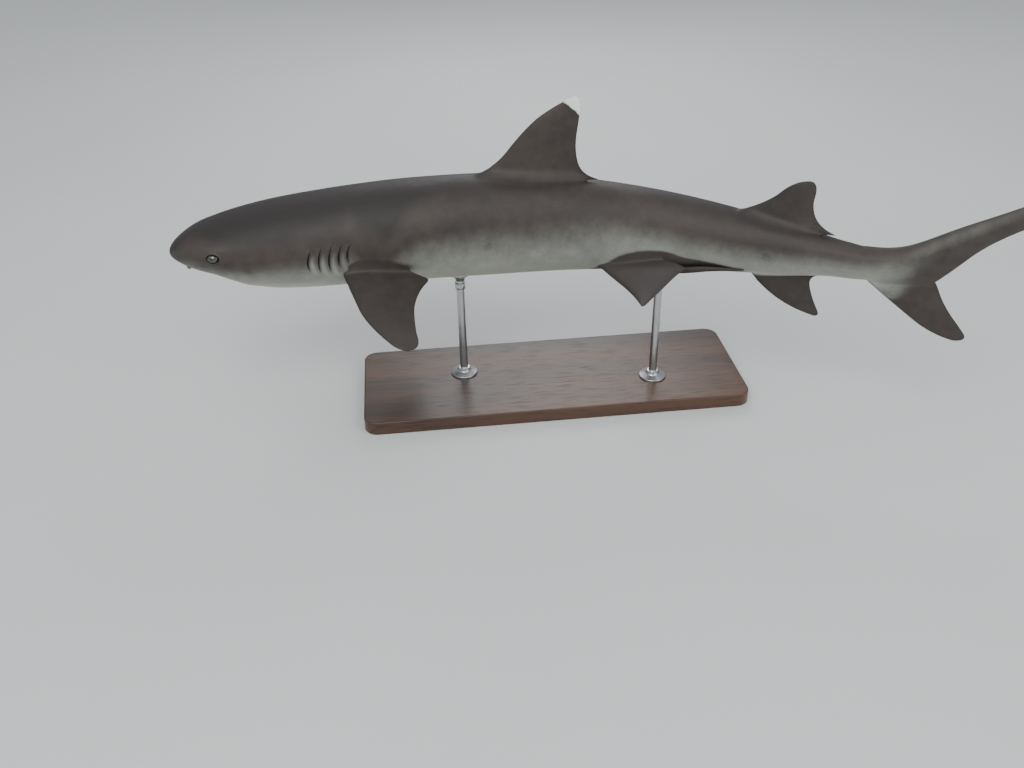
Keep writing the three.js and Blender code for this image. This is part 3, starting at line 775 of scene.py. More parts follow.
station, sine, cosine, number, span, chord, side = read_fields()
root = np.zeros(len(station), bool)
for index, fin in enumerate(FINS.values(), start=1):
    first, last = fin["patch"]
    away = np.abs(degrees_from(sine, cosine, fin["middle"]))
    behind = 0 if "around" in fin else ROOT_STRIP  # the web behind the lower lobe keeps its sharp corner
    beside = (span == 0) & (station > first - ROOT_STRIP) & (station < last + behind) & (away < PATCH + 9)
    root |= beside | (np.abs(number - index) < 0.5) & (span > 0) & (span < 0.16)
skin.data.vertices.foreach_set("select", root)
mode("EDIT")
bpy.ops.mesh.vertices_smooth(factor=0.5, repeat=4)
mode("OBJECT")
bpy.ops.object.shade_smooth()
check = bmesh.new()
check.from_mesh(skin.data)
loose = sum(not edge.is_manifold for edge in check.edges)
check.free()
print("skin:", len(skin.data.polygons), "faces,", int(root.sum()), "points smoothed at the roots, open edges:", loose)

# %% [markdown]
# The details are heights along the skin's own direction outwards. A gill slit is a narrow groove, and the skin in
# front of it is a loose flap that stands up a little. The mouth is a groove with a lip on either side of it. The
# eye's opening is a hole with a raised lid around it. The two sides of the head are alike, so one function of the
# left side serves both.

# %% Gills, mouth, lids and nostrils
def gill_heights(points):
    """Heights in millimetres, and how much painted shade each point gets in the hollow, as from all four functions of
    this cell.
    """
    height, shade = np.zeros(len(points)), np.zeros(len(points))
    for gill in GILLS:
        behind, t = gill_place(points, gill)
        u = behind * 1000
        fade = np.clip(1 - np.abs(t), 0, 1) ** 0.5 * (points[:, 1] < -mm(35))
        over = smooth(u, -0.7, 0.7)
        flap = 1.5 * np.exp(np.minimum(u, 0) / 6)
        groove = -3.4 * np.exp(-np.maximum(u, 0) / 1.9)
        height += fade * (flap + (groove - flap) * over) * (np.abs(u) < 40)
        # painted shade in the slit, fading behind it
        shade = np.maximum(shade, fade * np.exp(-np.maximum(u, 0) / 2.2) * (u > -0.9))
    return height, shade


def mouth_heights(points):
    behind, share = mouth_place(points)
    u = behind * 1000
    below = smooth(-points[:, 2], mm(6), mm(14))
    fade = below * (1 - smooth(share, 0.96, 1.05))
    height = fade * (-2.8 * ridge(u, 1.9) + 1.1 * ridge(u - 5, 3) + 0.9 * ridge(u + 4.5, 2.5))
    # the second value is painted shade in the mouth's groove
    return height, fade * ridge(u, 1.7)


def eye_heights(points):
    ring, forwards, up = eye_place(points)
    near = points[:, 1] < -mm(25)
    wall = -7.5 * (1 - smooth(ring, 0.8, 1.0))
    lid = 1.5 * ridge(ring - 1.16, 0.2) * (ring > 0.95)
    brow = 1.6 * ridge(np.hypot(forwards / mm(18), (up - mm(13)) / mm(7)), 1)
    fold = -0.7 * ridge(np.abs(forwards) / mm(12) + np.abs(ring - 1.55) / 0.16, 1) * (up < 0)
    # the second value is painted shade in the opening between the lids and on their rim
    return near * (wall + lid + brow + fold), near * (1 - smooth(ring, 0.9, 1.25))


def nostril_heights(points):
    pit = ridge(np.linalg.norm((points - NOSTRIL) / (mm(5), mm(2.6), mm(4)), axis=1), 0.9)
    # the second value is painted shade in the nostril's pit
    return -3.2 * pit, pit


straight = read_points(skin)
normals = read_all(skin.data.vertices, "normal")
left = straight * np.where(straight[:, 1:2] > 0, (1, -1, 1), (1, 1, 1))
on_head = (station < 22) & (span == 0)
heights = np.zeros(len(straight))
shades = {}
MAKERS = dict(gill=gill_heights, mouth=mouth_heights, eye=eye_heights, nostril=nostril_heights)
for name, made in MAKERS.items():
    height, shades[name] = made(left)
    heights += height * on_head
    shades[name] = shades[name] * on_head
on_top = np.abs(degrees_from(sine, cosine, 90)) < 40
heights -= ridge(station - 75.6, 0.6) * on_top * (span == 0)  # the shallow pit before the tail fin
write_points(skin, straight + normals * mm(heights)[:, None])
print("details reach from", round(float(heights.min()), 1), "to", round(float(heights.max()), 1), "mm")

# %% [markdown]
# A swimming shark is bent sideways only. Its spine is a line in the level plane: the head turns a little one way and
# the tail swings the other. Every point keeps its distance from the spine and its height, and moves with it. The
# middle of the display base is put below a point of the spine.

# %% Bend the shark along its spine
HEAD_TURN = math.radians(2.5)
TAIL_TURN = math.radians(30.5)
SPINE_STEPS = 300
STAND_STATION = 42
SIDE_SHIFT = mm(14)
RIDE_HEIGHT = mm(305)


def heading(x):
    return TAIL_TURN * smooth(x, pc(28.5), pc(68)) - HEAD_TURN * (1 - smooth(x, 0, pc(31)))


spine_at = np.linspace(0, LENGTH, SPINE_STEPS + 1)
spine_turn = heading(spine_at[:-1] + LENGTH / SPINE_STEPS / 2)
spine_x, spine_y = (np.concatenate([[0], np.cumsum(part)]) * LENGTH / SPINE_STEPS
                    for part in (np.cos(spine_turn), -np.sin(spine_turn)))


def on_spine(x):
    beyond, turn = x - np.clip(x, 0, LENGTH), heading(x)
    return (np.interp(x, spine_at, spine_x) + beyond * np.cos(turn),
            np.interp(x, spine_at, spine_y) - beyond * np.sin(turn))


def bent(points):
    """Points of the straight shark, carried to their place on the bent one above the stand."""
    x, y, z = points.T
    turn, (along_x, along_y), (middle_x, middle_y) = heading(x), on_spine(x), on_spine(pc(STAND_STATION))
    return np.stack([
        along_x + y * np.sin(turn) - middle_x,
        along_y + y * np.cos(turn) - middle_y + SIDE_SHIFT,
        z + RIDE_HEIGHT,
    ], axis=-1)


straight = read_points(skin)
write_points(skin, bent(straight))
write_places(skin, "straight", straight)
FLESH = [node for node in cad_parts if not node.startswith(("stand_", "eye_"))]
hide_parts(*FLESH)
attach(skin, "root")
print("skin reaches", read_points(skin).min(axis=0).round(3), "to", read_points(skin).max(axis=0).round(3))

# %% [markdown]
# The shark is dark above and pale below, so that it is hard to see from above or from below. One turns into the
# other in a soft border. It could be painted by hand, but two lines along the body, given as angles round it, are
# easy to move: above the first the skin is dark, below the second it is pale. The number between them is written on
# every point as an attribute, and the material only has to read it and roughen it. Between the gill slits the pale
# band climbs in streaks of painted light, where each flap behind a slit catches the light, and dark skin spreads
# around the roots of the paired fins.

# %% Where the skin is dark and where it is pale
dark_above = through(
    (0, 192), (2.7, 176), (6, 183), (12, 182), (16, 180), (19.5, 180), (21, 190), (23.5, 189), (25.5, 175),
    (28, 169), (33, 165.5), (39, 164), (45, 156), (48, 151), (53.5, 157.5), (57, 162), (65, 168), (75, 159),
)
pale_below = through(
    (0, 214), (6, 205), (10, 199), (14, 198.5), (18.5, 201), (21, 214), (23.5, 206), (25.5, 194), (42, 196),
    (45, 196), (48, 192), (51, 187), (54, 188), (57, 194), (60, 199), (65, 200), (70, 199), (75, 202),
)
pelvic_arch = through(
    (46, 232), (47.4, 219), (49, 207), (50.7, 199), (53.5, 195), (56.8, 199), (59.5, 205), (62, 214), (64.5, 236),
)
tail_stripe = through((76, 168), (80, 158), (84, 145), (92, 134))

down = 90 + np.abs(degrees_from(sine, cosine, 90))
pale = (down - dark_above(station)) / (pale_below(station) - dark_above(station))
for gill, strength in zip(GILLS, (0.8, 0.8, 0.75, 0.5, 0)):
    behind, t = gill_place(left, gill)
    # painted light: each gill flap is lighter just behind its slit, where it catches the light
    painted_flap_light = ridge(behind * 1000 - 7.5, 3.6) * within(t, -1.6, -0.9, -0.6, 1.3)
    pale += strength * painted_flap_light * (left[:, 1] < -mm(35))
above_arch = pelvic_arch(station)
pale -= 2.4 * within(station, 46.5, 47.5, 62.5, 65) * within(down, above_arch - 4, above_arch + 5, 236, 252)
pale -= 1.6 * within(station, 18.7, 19.7, 25, 27) * within(down, 188, 198, 206, 216)  # above the pectoral fins
stripe = 0.38 * ridge(down - tail_stripe(station), 34) * (1 - smooth(station, 86, 96)) - 0.15
pale += (stripe - pale) * smooth(station + 0.03 * np.maximum(down - 200, 0), 76.8, 83.5)
print("pale skin on", int((pale > 0.5).sum()), "points of", len(pale))

# %% [markdown]
# The fins are darker than the body. Each has its own depth of dark and takes it on within a share of its height, so
# the lower lobe of the tail fin stays pale at its root in front. The undersides of the paired fins are paler.

# %% How dark the fins are
DARK = dict(  # the number on the fin, and the share of its height within which it is reached
    first_dorsal=(-1.0, 0.12), second_dorsal=(-1.0, 0.12), anal=(-1.4, 0.12), lower_lobe=(-1.1, 0.42),
    pectoral=(-1.5, 0.02), pelvic=(-1.7, 0.02), clasper=(-1.7, 0), nasal_flap=(0.4, 0),
)
of_piece = {name: (np.abs(number - index) < 0.5) & (span > 0) for index, name in enumerate(PIECES, start=1)}
rim = np.minimum(np.minimum(chord, 1 - chord) * 5, (1 - span) * 6)
for name, (depth, share) in DARK.items():
    from_root = smooth(span, 0, share) if share else 1
    pale[of_piece[name]] = (depth * from_root + pale * (1 - from_root))[of_piece[name]]
mine = of_piece["first_dorsal"]
pale[mine] += (0.5 * (1 - smooth(span, 0.1, 0.7)) * (1 - smooth(chord, 0.3, 0.9)))[mine]
mine = of_piece["lower_lobe"]
wedge = 2.3 * (1 - smooth(span, 0.05, 0.45)) * (1 - smooth(chord + 0.6 * span, 0, 0.6))
pale[mine] = np.minimum(pale + wedge, np.maximum(pale, 0.75))[mine]
for name in ("pectoral", "pelvic"):
    mine = of_piece[name]
    under = 1.4 * smooth(-side, 0.05, 0.5) * smooth(rim, 0.15, 0.7)
    pale[mine] += (under * (1 - DARK[name][0] / 2))[mine]
print("fins:", {name: round(float(pale[mine].mean()), 2) for name, mine in of_piece.items()})

# %% [markdown]
# The species is named for its white fin tips. On the first dorsal fin the white is a small corner at the top of the
# rear edge, and the end of the tail fin is white too. Each is written as the distance in millimetres inside its
# border, so that the material can make the border sharp yet a little uneven.

# %% White tips and other marks
TIP_LINE = np.array([(42.8, 14.6), (44.8, 13.0)])  # from the fin's front edge to its rear edge, in percent
WHITE_TAIL = 95.3  # the station where the white of the tail begins
NO_WHITE = -99.0  # a distance so far outside the border that no roughening reaches it

run = TIP_LINE[1] - TIP_LINE[0]
across = np.array((-run[1], run[0])) / np.linalg.norm(run)
on_dorsal, on_tail = of_piece["first_dorsal"], (station > 90) & (span == 0)
tip = np.full(len(station), NO_WHITE)
tip[on_dorsal] = ((straight[:, [0, 2]] / LENGTH * 100 - TIP_LINE[0]) @ across * LENGTH * 10)[on_dorsal]
tip[on_tail] = ((station - WHITE_TAIL) * LENGTH * 10 - 4 * np.cos(np.radians(down - 90)))[on_tail]
# painted shade in the hollows: gill slits, mouth groove, nostrils and round the eyes
painted_hollow_shade = np.maximum.reduce([shades["gill"], shades["mouth"], shades["nostril"], 0.8 * shades["eye"]])
for name, values in (("pale", pale), ("tip", tip), ("hollow", painted_hollow_shade), ("rim", np.where(span > 0, rim, 9))):
    write_field(name, values)
print("white on", int((tip > 0).sum()), "points")

# %% [markdown]
# The eyes are separate balls behind the openings in the skin, as in the animal. A shark's eye is an oval, longer
# than high, and set low on the side of the head. A ball could be modelled by turning half a circle, but Blender's
# sphere is the same thing, and it only has to be stretched to the oval and turned so that its pole looks outwards.
# Each point also keeps its place on the unstretched ball, because the iris and pupil are painted from it.

# %% Eyeballs
def eyeball(side):
    start_new()
    bpy.ops.mesh.primitive_uv_sphere_add(segments=48, ring_count=32, radius=1)
    eye = bpy.context.object
    eye.name = f"eyeball_{side}"
    local = read_points(eye)[:, [0, 2, 1]] * (1, -1, 1)  # the sphere's pole looks out to the left
    turn, outwards = math.radians(EYE_TURN), math.radians(EYE_ANGLE)
    x, y, z = (local * np.array(EYE_HALF)).T
    placed = np.stack([x * math.cos(turn) - y * math.sin(turn), x * math.sin(turn) + y * math.cos(turn), z], axis=-1)
    placed += eye_surface - EYE_SINK * np.array((0, math.cos(outwards), math.sin(outwards)))
    if side == "right":
        placed[:, 1] *= -1
    write_points(eye, bent(placed))
    write_places(eye, "eye", local)
    mode("EDIT")
    point_outwards()
    mode("OBJECT")
    bpy.ops.object.shade_smooth()
    return eye


eyes = {side: eyeball(side) for side in ("left", "right")}
for side, eye in eyes.items():
    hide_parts(f"eye_{side}")
    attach(eye, "root")
print("eyes", [round(2000 * half, 1) for half in EYE_HALF], "mm long, deep and high")

# %% [markdown]
# Materials are made of nodes, and sums of nodes are easier to read as sums. This small class wraps a node's output.
# Adding or multiplying wrapped outputs adds Math nodes, and one method, node, adds every other kind. Colours are
# given as they look on paper, from 0 to 255, and changed to the linear values that a renderer works with.

# %% A small language for materials
def paint(red, green, blue):
    def linear(value):
        value /= 255
        return value / 12.92 if value < 0.04 else ((value + 0.055) / 1.055) ** 2.4

    return (linear(red), linear(green), linear(blue), 1)


class Shade:
    """The output of a node, with which other nodes are reckoned."""

    def __init__(self, tree, socket=None):
        self.tree, self.socket = tree, socket

    def node(self, kind, settings, values, output=0):
        made = self.tree.nodes.new(kind)
        for name, value in settings.items():
            setattr(made, name, value)
        for name, value in values.items():
            if isinstance(value, Shade):
                self.tree.links.new(value.socket, made.inputs[name])
            else:
                made.inputs[name].default_value = value
        return Shade(self.tree, made.outputs[output])

    def reckon(self, operation, one, other):
        return self.node("ShaderNodeMath", {"operation": operation}, {0: one, 1: other})

    def __add__(self, other):
        return self.reckon("ADD", self, other)

    def __mul__(self, other):
        return self.reckon("MULTIPLY", self, other)

    def __sub__(self, other):
        return self.reckon("SUBTRACT", self, other)

    def __rsub__(self, other):
        return self.reckon("SUBTRACT", other, self)

    __radd__, __rmul__ = __add__, __mul__

    def step(self, start, end):
        """0 at the start and 1 at the end, soft between."""
        return self.node("ShaderNodeMapRange", {"interpolation_type": "SMOOTHSTEP"},
                         {"Value": self, "From Min": start, "From Max": end})

    def between(self, one, other):
        """The colour that lies at this share between two colours."""
        return self.node("ShaderNodeMix", {"data_type": "RGBA"}, {0: self, 6: one, 7: other}, 2)

    def wander(self, one, other):
        """A colour that wanders between two as this noise does."""
        return (self + 0.5).step(0, 1).between(one, other)

    def number(self, name):
        return self.node("ShaderNodeAttribute", {"attribute_name": name}, {}, "Fac")

    def place(self, name=None):
        """An attribute that is a place, or without a name the place on the object."""
        if name:
            return self.node("ShaderNodeAttribute", {"attribute_name": name}, {}, "Vector")
        return self.node("ShaderNodeTexCoord", {}, {}, "Object")

    def stretched(self, scale):
        """This place with each of its three directions scaled."""
        return self.node("ShaderNodeVectorMath", {"operation": "MULTIPLY"}, {0: self, 1: scale})

    def noise(self, scale, detail, rough=0.5, distortion=0.0):
        """Cloudy noise around 0, from about -0.5 to 0.5."""
        values = {"Vector": self, "Scale": scale, "Detail": detail, "Roughness": rough, "Distortion": distortion}
        return self.node("ShaderNodeTexNoise", {}, values, "Fac") - 0.5

    def cells(self, scale, output="Distance"):
        """The distance from the middle of the cell around this place, or the cell's random colour."""
        return self.node("ShaderNodeTexVoronoi", {}, {"Vector": self, "Scale": scale}, output)

    def bump(self, depth, strength):
        """The slopes of a surface that has this height."""
        values = {"Height": self, "Distance": depth, "Strength": strength}
        return self.node("ShaderNodeBump", {}, values, "Normal")


def new_finish(name, **settings):
    """A new material, its shader, and a first Shade to build from."""
    made = bpy.data.materials.new(name)
    made.use_nodes = True
    shader = made.node_tree.nodes["Principled BSDF"]
    for socket, value in settings.items():
        shader.inputs[socket.replace("_", " ")].default_value = value
    return made, shader, Shade(made.node_tree)


def wire(shader, **shades):
    for socket, shade in shades.items():
        shade.tree.links.new(shade.socket, shader.inputs[socket.replace("_", " ")])


print("dark brown grey is", [round(value, 3) for value in paint(70, 63, 58)])

# %% [markdown]
# Shark skin is a mail of tiny teeth, finer than sand, so it is matt with a satin gloss. The colour of the back is a
# brown grey with soft clouds, some faint darker spots and a fine mottle. The border to the pale belly reads the
# attribute and is roughened by the same clouds. All patterns use the place on the straight shark, so they bend with
# the body instead of cutting through it. The bump has three sizes: the teeth, a fine wrinkling, and broad muscle.

# %% The skin's finish
skin_material, shader, make = new_finish("shark skin", Specular_IOR_Level=0.36)
straight_place = make.place("straight")
clouds = straight_place.stretched((0.7, 1, 1)).noise(11, 4)
mottle = straight_place.noise(48, 5, 0.6)
grain = straight_place.noise(420, 2)

pale_here = make.number("pale")
share_pale = (pale_here + clouds * 0.4 + mottle * 0.22).step(-0.3, 1.3)
back_colour = (clouds * 1.6 + mottle * 1.2).wander(paint(53, 47, 44), paint(70, 63, 58))
back_colour = (pale_here * -1 + clouds).step(1.0, 2.4).between(back_colour, paint(44, 39, 38))
flank_colour = (mottle * 1.5 + grain).wander(paint(122, 124, 117), paint(141, 143, 135))
belly_colour = (pale_here + clouds).step(1.0, 2.8).between(flank_colour, paint(186, 184, 173))
colour = share_pale.between(back_colour, belly_colour)

SPOTS = 21  # cells in a metre, of which a few carry a spot
chosen = make.node("ShaderNodeSeparateColor", {}, {0: straight_place.cells(SPOTS, "Color")}, "Red").step(0.68, 0.74)
spot = 1 - (straight_place.cells(SPOTS) + mottle * 0.3).step(0.09, 0.2)
spotted = spot * chosen * (0.4 - share_pale * 0.25)
colour = spotted.between(colour, paint(52, 47, 44))

worn = (make.number("rim") * -1 + mottle * 0.5).step(-0.22, 0.05) * 0.35
colour = worn.between(colour, paint(46, 41, 39))
white = (make.number("tip") + mottle * 9 + clouds * 6).step(-1.6, 1.2)
white_colour = (mottle * 1.4).wander(paint(232, 234, 230), paint(248, 249, 246))
colour = white.between(colour, white_colour)
# painted shade in the hollows of the gill slits, mouth, nostrils and eye openings
colour = make.number("hollow").step(0.08, 0.85).between(colour, paint(26, 22, 21))

teeth = straight_place.stretched((0.6, 1, 1)).cells(900)
height = teeth * 0.16 + grain * 0.25 + mottle * 0.9 + clouds * 4.0
wire(shader, Base_Color=colour, Roughness=0.54 + mottle * 0.2, Normal=height.bump(mm(1.1), 0.55))
skin.data.materials.append(skin_material)
print("skin finish:", len(skin_material.node_tree.nodes), "nodes")

# %% [markdown]
# A shark's eye has a slit pupil that stands upright, in an iris with fine rays, and a dark ring where the iris ends
# under the lids. The eyeball carries its own directions as an attribute: x forwards, z up, and -1 in y looking out.

# %% The eye's finish
eye_material, shader, make = new_finish("shark eye", Roughness=0.12, Coat_Weight=1.0, Coat_Roughness=0.03)
ahead, up = (make.node("ShaderNodeSeparateXYZ", {}, {0: make.place("eye")}, axis) for axis in "XZ")
out = make.reckon("SQRT", ahead * ahead + up * up, 0.0)
angle = make.reckon("ARCTAN2", up, ahead)
rays = make.node("ShaderNodeCombineXYZ", {}, {0: angle * 9, 1: out * 1.5}).noise(1, 4)
iris = (rays * 2.2 + out * 0.5 + 0.25).step(0, 1).between(paint(30, 33, 26), paint(74, 79, 60))
ring = (out + rays * 0.08).step(0.6, 0.8).between(iris, paint(18, 17, 16))
slit = make.reckon("ABSOLUTE", ahead, 0.0) + up * up * 0.42 + rays * 0.02
wire(shader, Base_Color=slit.step(0.10, 0.145).between(paint(5, 6, 7), ring))
for eye in eyes.values():
    eye.data.materials.append(eye_material)
print("eye finish:", len(eye_material.node_tree.nodes), "nodes")

# %% [markdown]
# The stand's base is a board of dark stained hardwood with a satin lacquer. Wood shows long grain: bands that wander
# slowly along the board, and short dark pores. The pattern is noise stretched along the board's length. At the ends
# the same noise shows its short side, as end grain does.

# %% The wood's finish
wood_material, shader, make = new_finish("stained wood", Coat_Weight=0.25, Coat_Roughness=0.25)
board = make.place()
bands = board.stretched((1.6, 26, 26)).noise(1, 5, distortion=0.6)
pores = board.stretched((22, 420, 420)).noise(1, 2).step(0.06, 0.18)
stain = (bands * 2.2 + board.noise(3.2, 2) * 0.8).wander(paint(44, 29, 21), paint(86, 57, 39))
stain = (pores * 0.55).between(stain, paint(26, 17, 13))
wire(shader, Base_Color=stain, Roughness=0.42 + pores * 0.15 + bands * 0.1,
     Normal=(bands * 0.4 - pores * 0.5).bump(mm(0.4), 0.5))
print("wood finish:", len(wood_material.node_tree.nodes), "nodes")

# %% [markdown]
# The rods and cups are brushed steel: the brush leaves fine scratches round the rod, and hands leave faint smears.
# The felt in the cups is a mat of short fibres, black and quite without gloss.

# %% Finishes of the steel and the felt
steel_material, shader, make = new_finish("brushed steel", Metallic=1.0)
brushed = make.place().stretched((60, 60, 2600)).noise(1, 2)
smears = make.place().noise(35, 3)
wire(shader, Base_Color=(smears * 1.2).wander(paint(176, 178, 180), paint(203, 205, 206)),
     Roughness=0.3 + brushed * 0.14 + smears * 0.12, Normal=brushed.bump(mm(0.12), 0.5))

felt_material, shader, make = new_finish("black felt", Roughness=0.95)
fibres = make.place().noise(900, 3, 0.7)
wire(shader, Base_Color=(fibres * 1.5).wander(paint(20, 20, 21), paint(48, 47, 46)),
     Normal=fibres.bump(mm(0.5), 0.7))
print("finishes:", wood_material.name, steel_material.name, felt_material.name)

# %% [markdown]
# The base is a board: a block of the board's size whose four upright edges are rounded first and whose top edge then
# gets a small moulded chamfer. Doing it in this order carries the chamfer round the corners in one smooth run.

# %% The base board
BOARD = Vector((0.680, 0.240, 0.024))
AT_FACE = mm(0.5)  # a point this near to a face of the board lies on it


def edges_where(obj, test):
    """Selects the edges whose two ends pass a test, and nothing else, in edit mode."""
    mode("OBJECT")
    for part in (obj.data.vertices, obj.data.edges, obj.data.polygons):
        part.foreach_set("select", [False] * len(part))
    for edge in obj.data.edges:
        edge.select = test(*(obj.data.vertices[i].co for i in edge.vertices))
    mode("EDIT")


start_new()
bpy.ops.mesh.primitive_cube_add(size=1, location=(0, 0, 0))
board_piece = bpy.context.object
board_piece.name = "base_board"
write_points(board_piece, read_points(board_piece) * np.array(BOARD) + (0, 0, BOARD.z / 2))
mode("EDIT")
bpy.ops.mesh.select_mode(type="EDGE")
edges_where(board_piece, lambda a, b: abs(a.z - b.z) > BOARD.z / 2)
bpy.ops.mesh.bevel(offset=mm(24), segments=12, affect="EDGES")
edges_where(board_piece, lambda a, b: min(a.z, b.z) > BOARD.z - AT_FACE)
bpy.ops.mesh.bevel(offset=mm(3), segments=5, profile=0.62, affect="EDGES")
edges_where(board_piece, lambda a, b: max(a.z, b.z) < AT_FACE)
bpy.ops.mesh.bevel(offset=mm(1), segments=2, affect="EDGES")
bpy.ops.mesh.select_mode(type="VERT")
mode("OBJECT")
bpy.ops.object.shade_smooth_by_angle(angle=math.radians(32))
board_piece.data.materials.append(wood_material)
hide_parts("stand_base")
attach(board_piece, "root")
print("board:", len(board_piece.data.polygons), "faces")

# %% [markdown]
# Each rod is a turned piece: a flange that stands on the board, the rod itself, a collar, and a cup at its head.
# Turned pieces are drawn up from a circle: extrude and move up, then scale in or out, once for each step of the
# profile. The steps are given as radius and height, from the foot upwards.

# %% A turned piece
def turned(name, foot, steps):
    """A closed piece turned about an upright axis, with a step of (radius, height) in millimetres for each ring."""

    def above_foot(height):
        return foot[0], foot[1], foot[2] + mm(height)

    start_new()
    radius, height = steps[0]
    bpy.ops.mesh.primitive_circle_add(vertices=64, radius=mm(radius), fill_type="NGON", location=above_foot(height))
    piece = bpy.context.object
    piece.name = name
    bpy.ops.object.transform_apply(location=True, rotation=False, scale=False)
    mode("EDIT")
    bpy.ops.mesh.select_mode(type="VERT")
    bpy.ops.mesh.select_all(action="SELECT")
    for wider, higher in steps[1:]:
        bpy.ops.mesh.extrude_region_move(TRANSFORM_OT_translate={"value": (0, 0, mm(higher - height))})
        share = wider / radius
        if abs(share - 1) > TINY:
            bpy.ops.transform.resize(value=(share, share, 1), center_override=above_foot(higher))
        radius, height = wider, higher
    point_outwards()
    mode("OBJECT")
    bpy.ops.object.shade_smooth_by_angle(angle=math.radians(35))
    return piece


def foot_of(station):
    """The point of the bent belly above a rod's foot."""
    return Vector(bent(on_body(np.array([float(station)]), np.array([270.0])))[0].tolist())


RODS_OF_STAND = {"front": foot_of(31.5), "rear": foot_of(54.5)}
print("belly above the rods at", {name: round(point.z, 4) for name, point in RODS_OF_STAND.items()})

# %% [markdown]
# A rod's steps go up from the flange, which thickens towards the rod, to a collar below the cup. A hair of space is
# left between the pieces of the stand, so that they never share a face.

# %% Rods with their flanges
CUP_DEPTH = 17  # millimetres from the belly to the underside of a cup
GAP, GAP_AT_BOARD = 0.2, 0.3  # millimetres left between two pieces that meet
FLANGE = [(24, 0), (24, 2.2), (23.6, 2.8), (22.8, 3.2), (13.6, 5.6), (12.2, 6.6), (11.2, 8.4), (10.6, 10.6), (10, 12),
          (7.4, 12.3), (7, 12.8)]
for name, under in RODS_OF_STAND.items():
    foot = (under.x, under.y, BOARD.z + mm(GAP_AT_BOARD))
    top = (under.z - foot[2]) * 1000 - CUP_DEPTH - GAP
    collar = [(7, top - 16), (8.8, top - 15.2), (9.3, top - 14.4), (9.3, top - 5), (8.8, top - 4.2), (7, top - 3.4)]
    rod_piece = turned(f"rod_{name}", foot, FLANGE + [(7, 40)] + collar + [(7, top)])
    rod_piece.data.materials.append(steel_material)
    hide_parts(f"stand_rod_{name}")
    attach(rod_piece, "root")
    print("rod", name, "stands", round(under.z - foot[2], 4), "m high")

# %% [markdown]
# The belly lies in a shallow steel cup lined with felt, so that the metal never touches the skin. Both are turned
# flat first. Then each point of their upper faces is raised or lowered to the belly above it, found by a ray sent
# straight up, less the thickness that lies between.

# %% Cups and their felt
from mathutils.bvhtree import BVHTree

belly_tree = BVHTree.FromPolygons(read_points(skin).tolist(), [tuple(face.vertices) for face in skin.data.polygons])
FELT = 2.0  # millimetres
BELOW_BELLY = mm(50)  # a height from which rays are sent up
RINGS = (16, 12, 8, 4, 1)  # the radii of the closely turned upper faces


def under_belly(piece, gaps):
    """Moves points to their gap in millimetres under the belly. One without a gap stays where it is."""
    points = read_points(piece)
    for i in np.flatnonzero(gaps > 0):
        hit = belly_tree.ray_cast(Vector((points[i, 0], points[i, 1], BELOW_BELLY)), Vector((0, 0, 1)))[0]
        points[i, 2] = hit.z - mm(gaps[i])
    write_points(piece, points)


for name, under in RODS_OF_STAND.items():
    foot = (under.x, under.y, under.z - mm(CUP_DEPTH))
    dish = [(8, 0), (8.6, 0.5), (10, 6), (12.4, 8.4), (18.6, 12.6), (19.6, 13.4), (20, 14.4)]
    cup = turned(f"cup_{name}", foot, dish + [(20, 15.4), (19.6, 15.8)] + [(radius, 15.8) for radius in RINGS])
    under_belly(cup, np.where(read_points(cup)[:, 2] > foot[2] + mm(15.2), FELT + GAP + 0.1, 0))
    cup.data.materials.append(steel_material)
    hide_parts(f"stand_cup_{name}")
    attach(cup, "root")
    lining = turned(f"felt_{name}", (under.x, under.y, under.z),
                    [(radius, -FELT) for radius in (*RINGS[::-1], 19.2)] + [(radius, 0) for radius in (19.2, *RINGS)])
    under_belly(lining, np.where(read_points(lining)[:, 2] > under.z - mm(FELT / 2), GAP, FELT + GAP))
    lining.data.materials.append(felt_material)
    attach(lining, "root")
    print("cup", name, "under the belly at", round(under.z, 4), "m")

# %% [markdown]
# The floor is a plain pale studio floor, so large that its edge is never seen. It is a hair below the base.

# %% The studio floor
FLOOR_SIZE = 40

start_new()
bpy.ops.mesh.primitive_plane_add(size=FLOOR_SIZE, location=(0, 0, -mm(0.5)))
floor = bpy.context.object
floor.name = "floor"
floor_material, shader, make = new_finish("pale floor", Roughness=0.85)
cloudy = make.place().noise(0.9, 3)
wire(shader, Base_Color=cloudy.wander(paint(206, 208, 208), paint(214, 216, 216)))
floor.data.materials.append(floor_material)
print("floor:", FLOOR_SIZE, "m square")

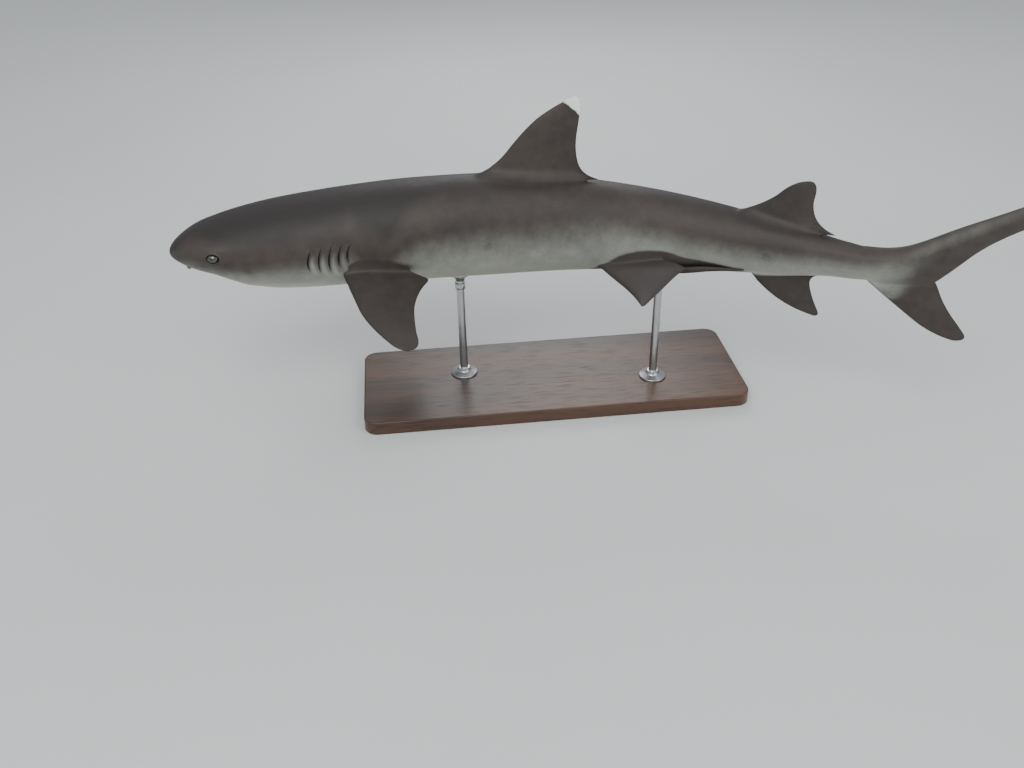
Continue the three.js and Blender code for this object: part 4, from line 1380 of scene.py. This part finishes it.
# %% [markdown]
# The light is that of a portrait studio: an even, slightly cool room light, a large soft lamp above the shark's
# left side, a weaker one from the tail's side and a third behind, which draws a thin bright line along the
# back. A wide soft light from above stands for the studio's ceiling.

# %% Lights
AIM = Vector((0, 0, 0.3))  # the lamps look at the middle of the shark

world = bpy.data.worlds.new("studio")
bpy.context.scene.world = world
world.use_nodes = True
background = world.node_tree.nodes["Background"].inputs
background["Color"].default_value = (0.85, 0.9, 0.95, 1)
background["Strength"].default_value = 0.45


def area_light(name, place, size, watts):
    bpy.ops.object.light_add(type="AREA", location=place)
    lamp = bpy.context.object
    lamp.name = name
    lamp.data.shape = "DISK"
    lamp.data.size = size
    lamp.data.energy = watts
    lamp.rotation_euler = (AIM - Vector(place)).to_track_quat("-Z", "Y").to_euler()


area_light("key", (-1.0, -1.9, 2.4), 2.0, 46)
area_light("fill", (1.9, -1.9, 1.6), 2.2, 24)
area_light("rim", (0.3, 2.2, 1.8), 1.6, 22)
bpy.ops.object.light_add(type="SUN", location=(0, 0, 4))
sky = bpy.context.object
sky.name = "ceiling"
sky.data.energy = 0.9
sky.data.angle = math.radians(100)
sky.rotation_euler = (math.radians(14), math.radians(-10), 0)
print("lights:", [light.name for light in bpy.data.lights])

# %% [markdown]
# The camera stands to the left of the shark and looks down on it a little. Its turn is built from three angles, as a
# tripod head has them: how far it looks down, how far it is swung, and how far it leans to one side.

# %% The camera
bpy.ops.object.camera_add(location=(-0.235, -1.53, 0.991))
camera = bpy.context.object
camera.data.lens = 35
camera.data.sensor_width = 36
pitch, yaw, roll = (math.radians(angle) for angle in (32.64, 6.07, -1.12))
forward = Vector((math.sin(yaw) * math.cos(pitch), math.cos(yaw) * math.cos(pitch), -math.sin(pitch)))
right = Vector((math.cos(yaw), -math.sin(yaw), 0))
up = right.cross(forward)
right, up = right * math.cos(roll) + up * math.sin(roll), up * math.cos(roll) - right * math.sin(roll)
camera.rotation_euler = Matrix((right, up, -forward)).transposed().to_euler()
bpy.context.scene.camera = camera
print("camera at", tuple(round(v, 3) for v in camera.location))
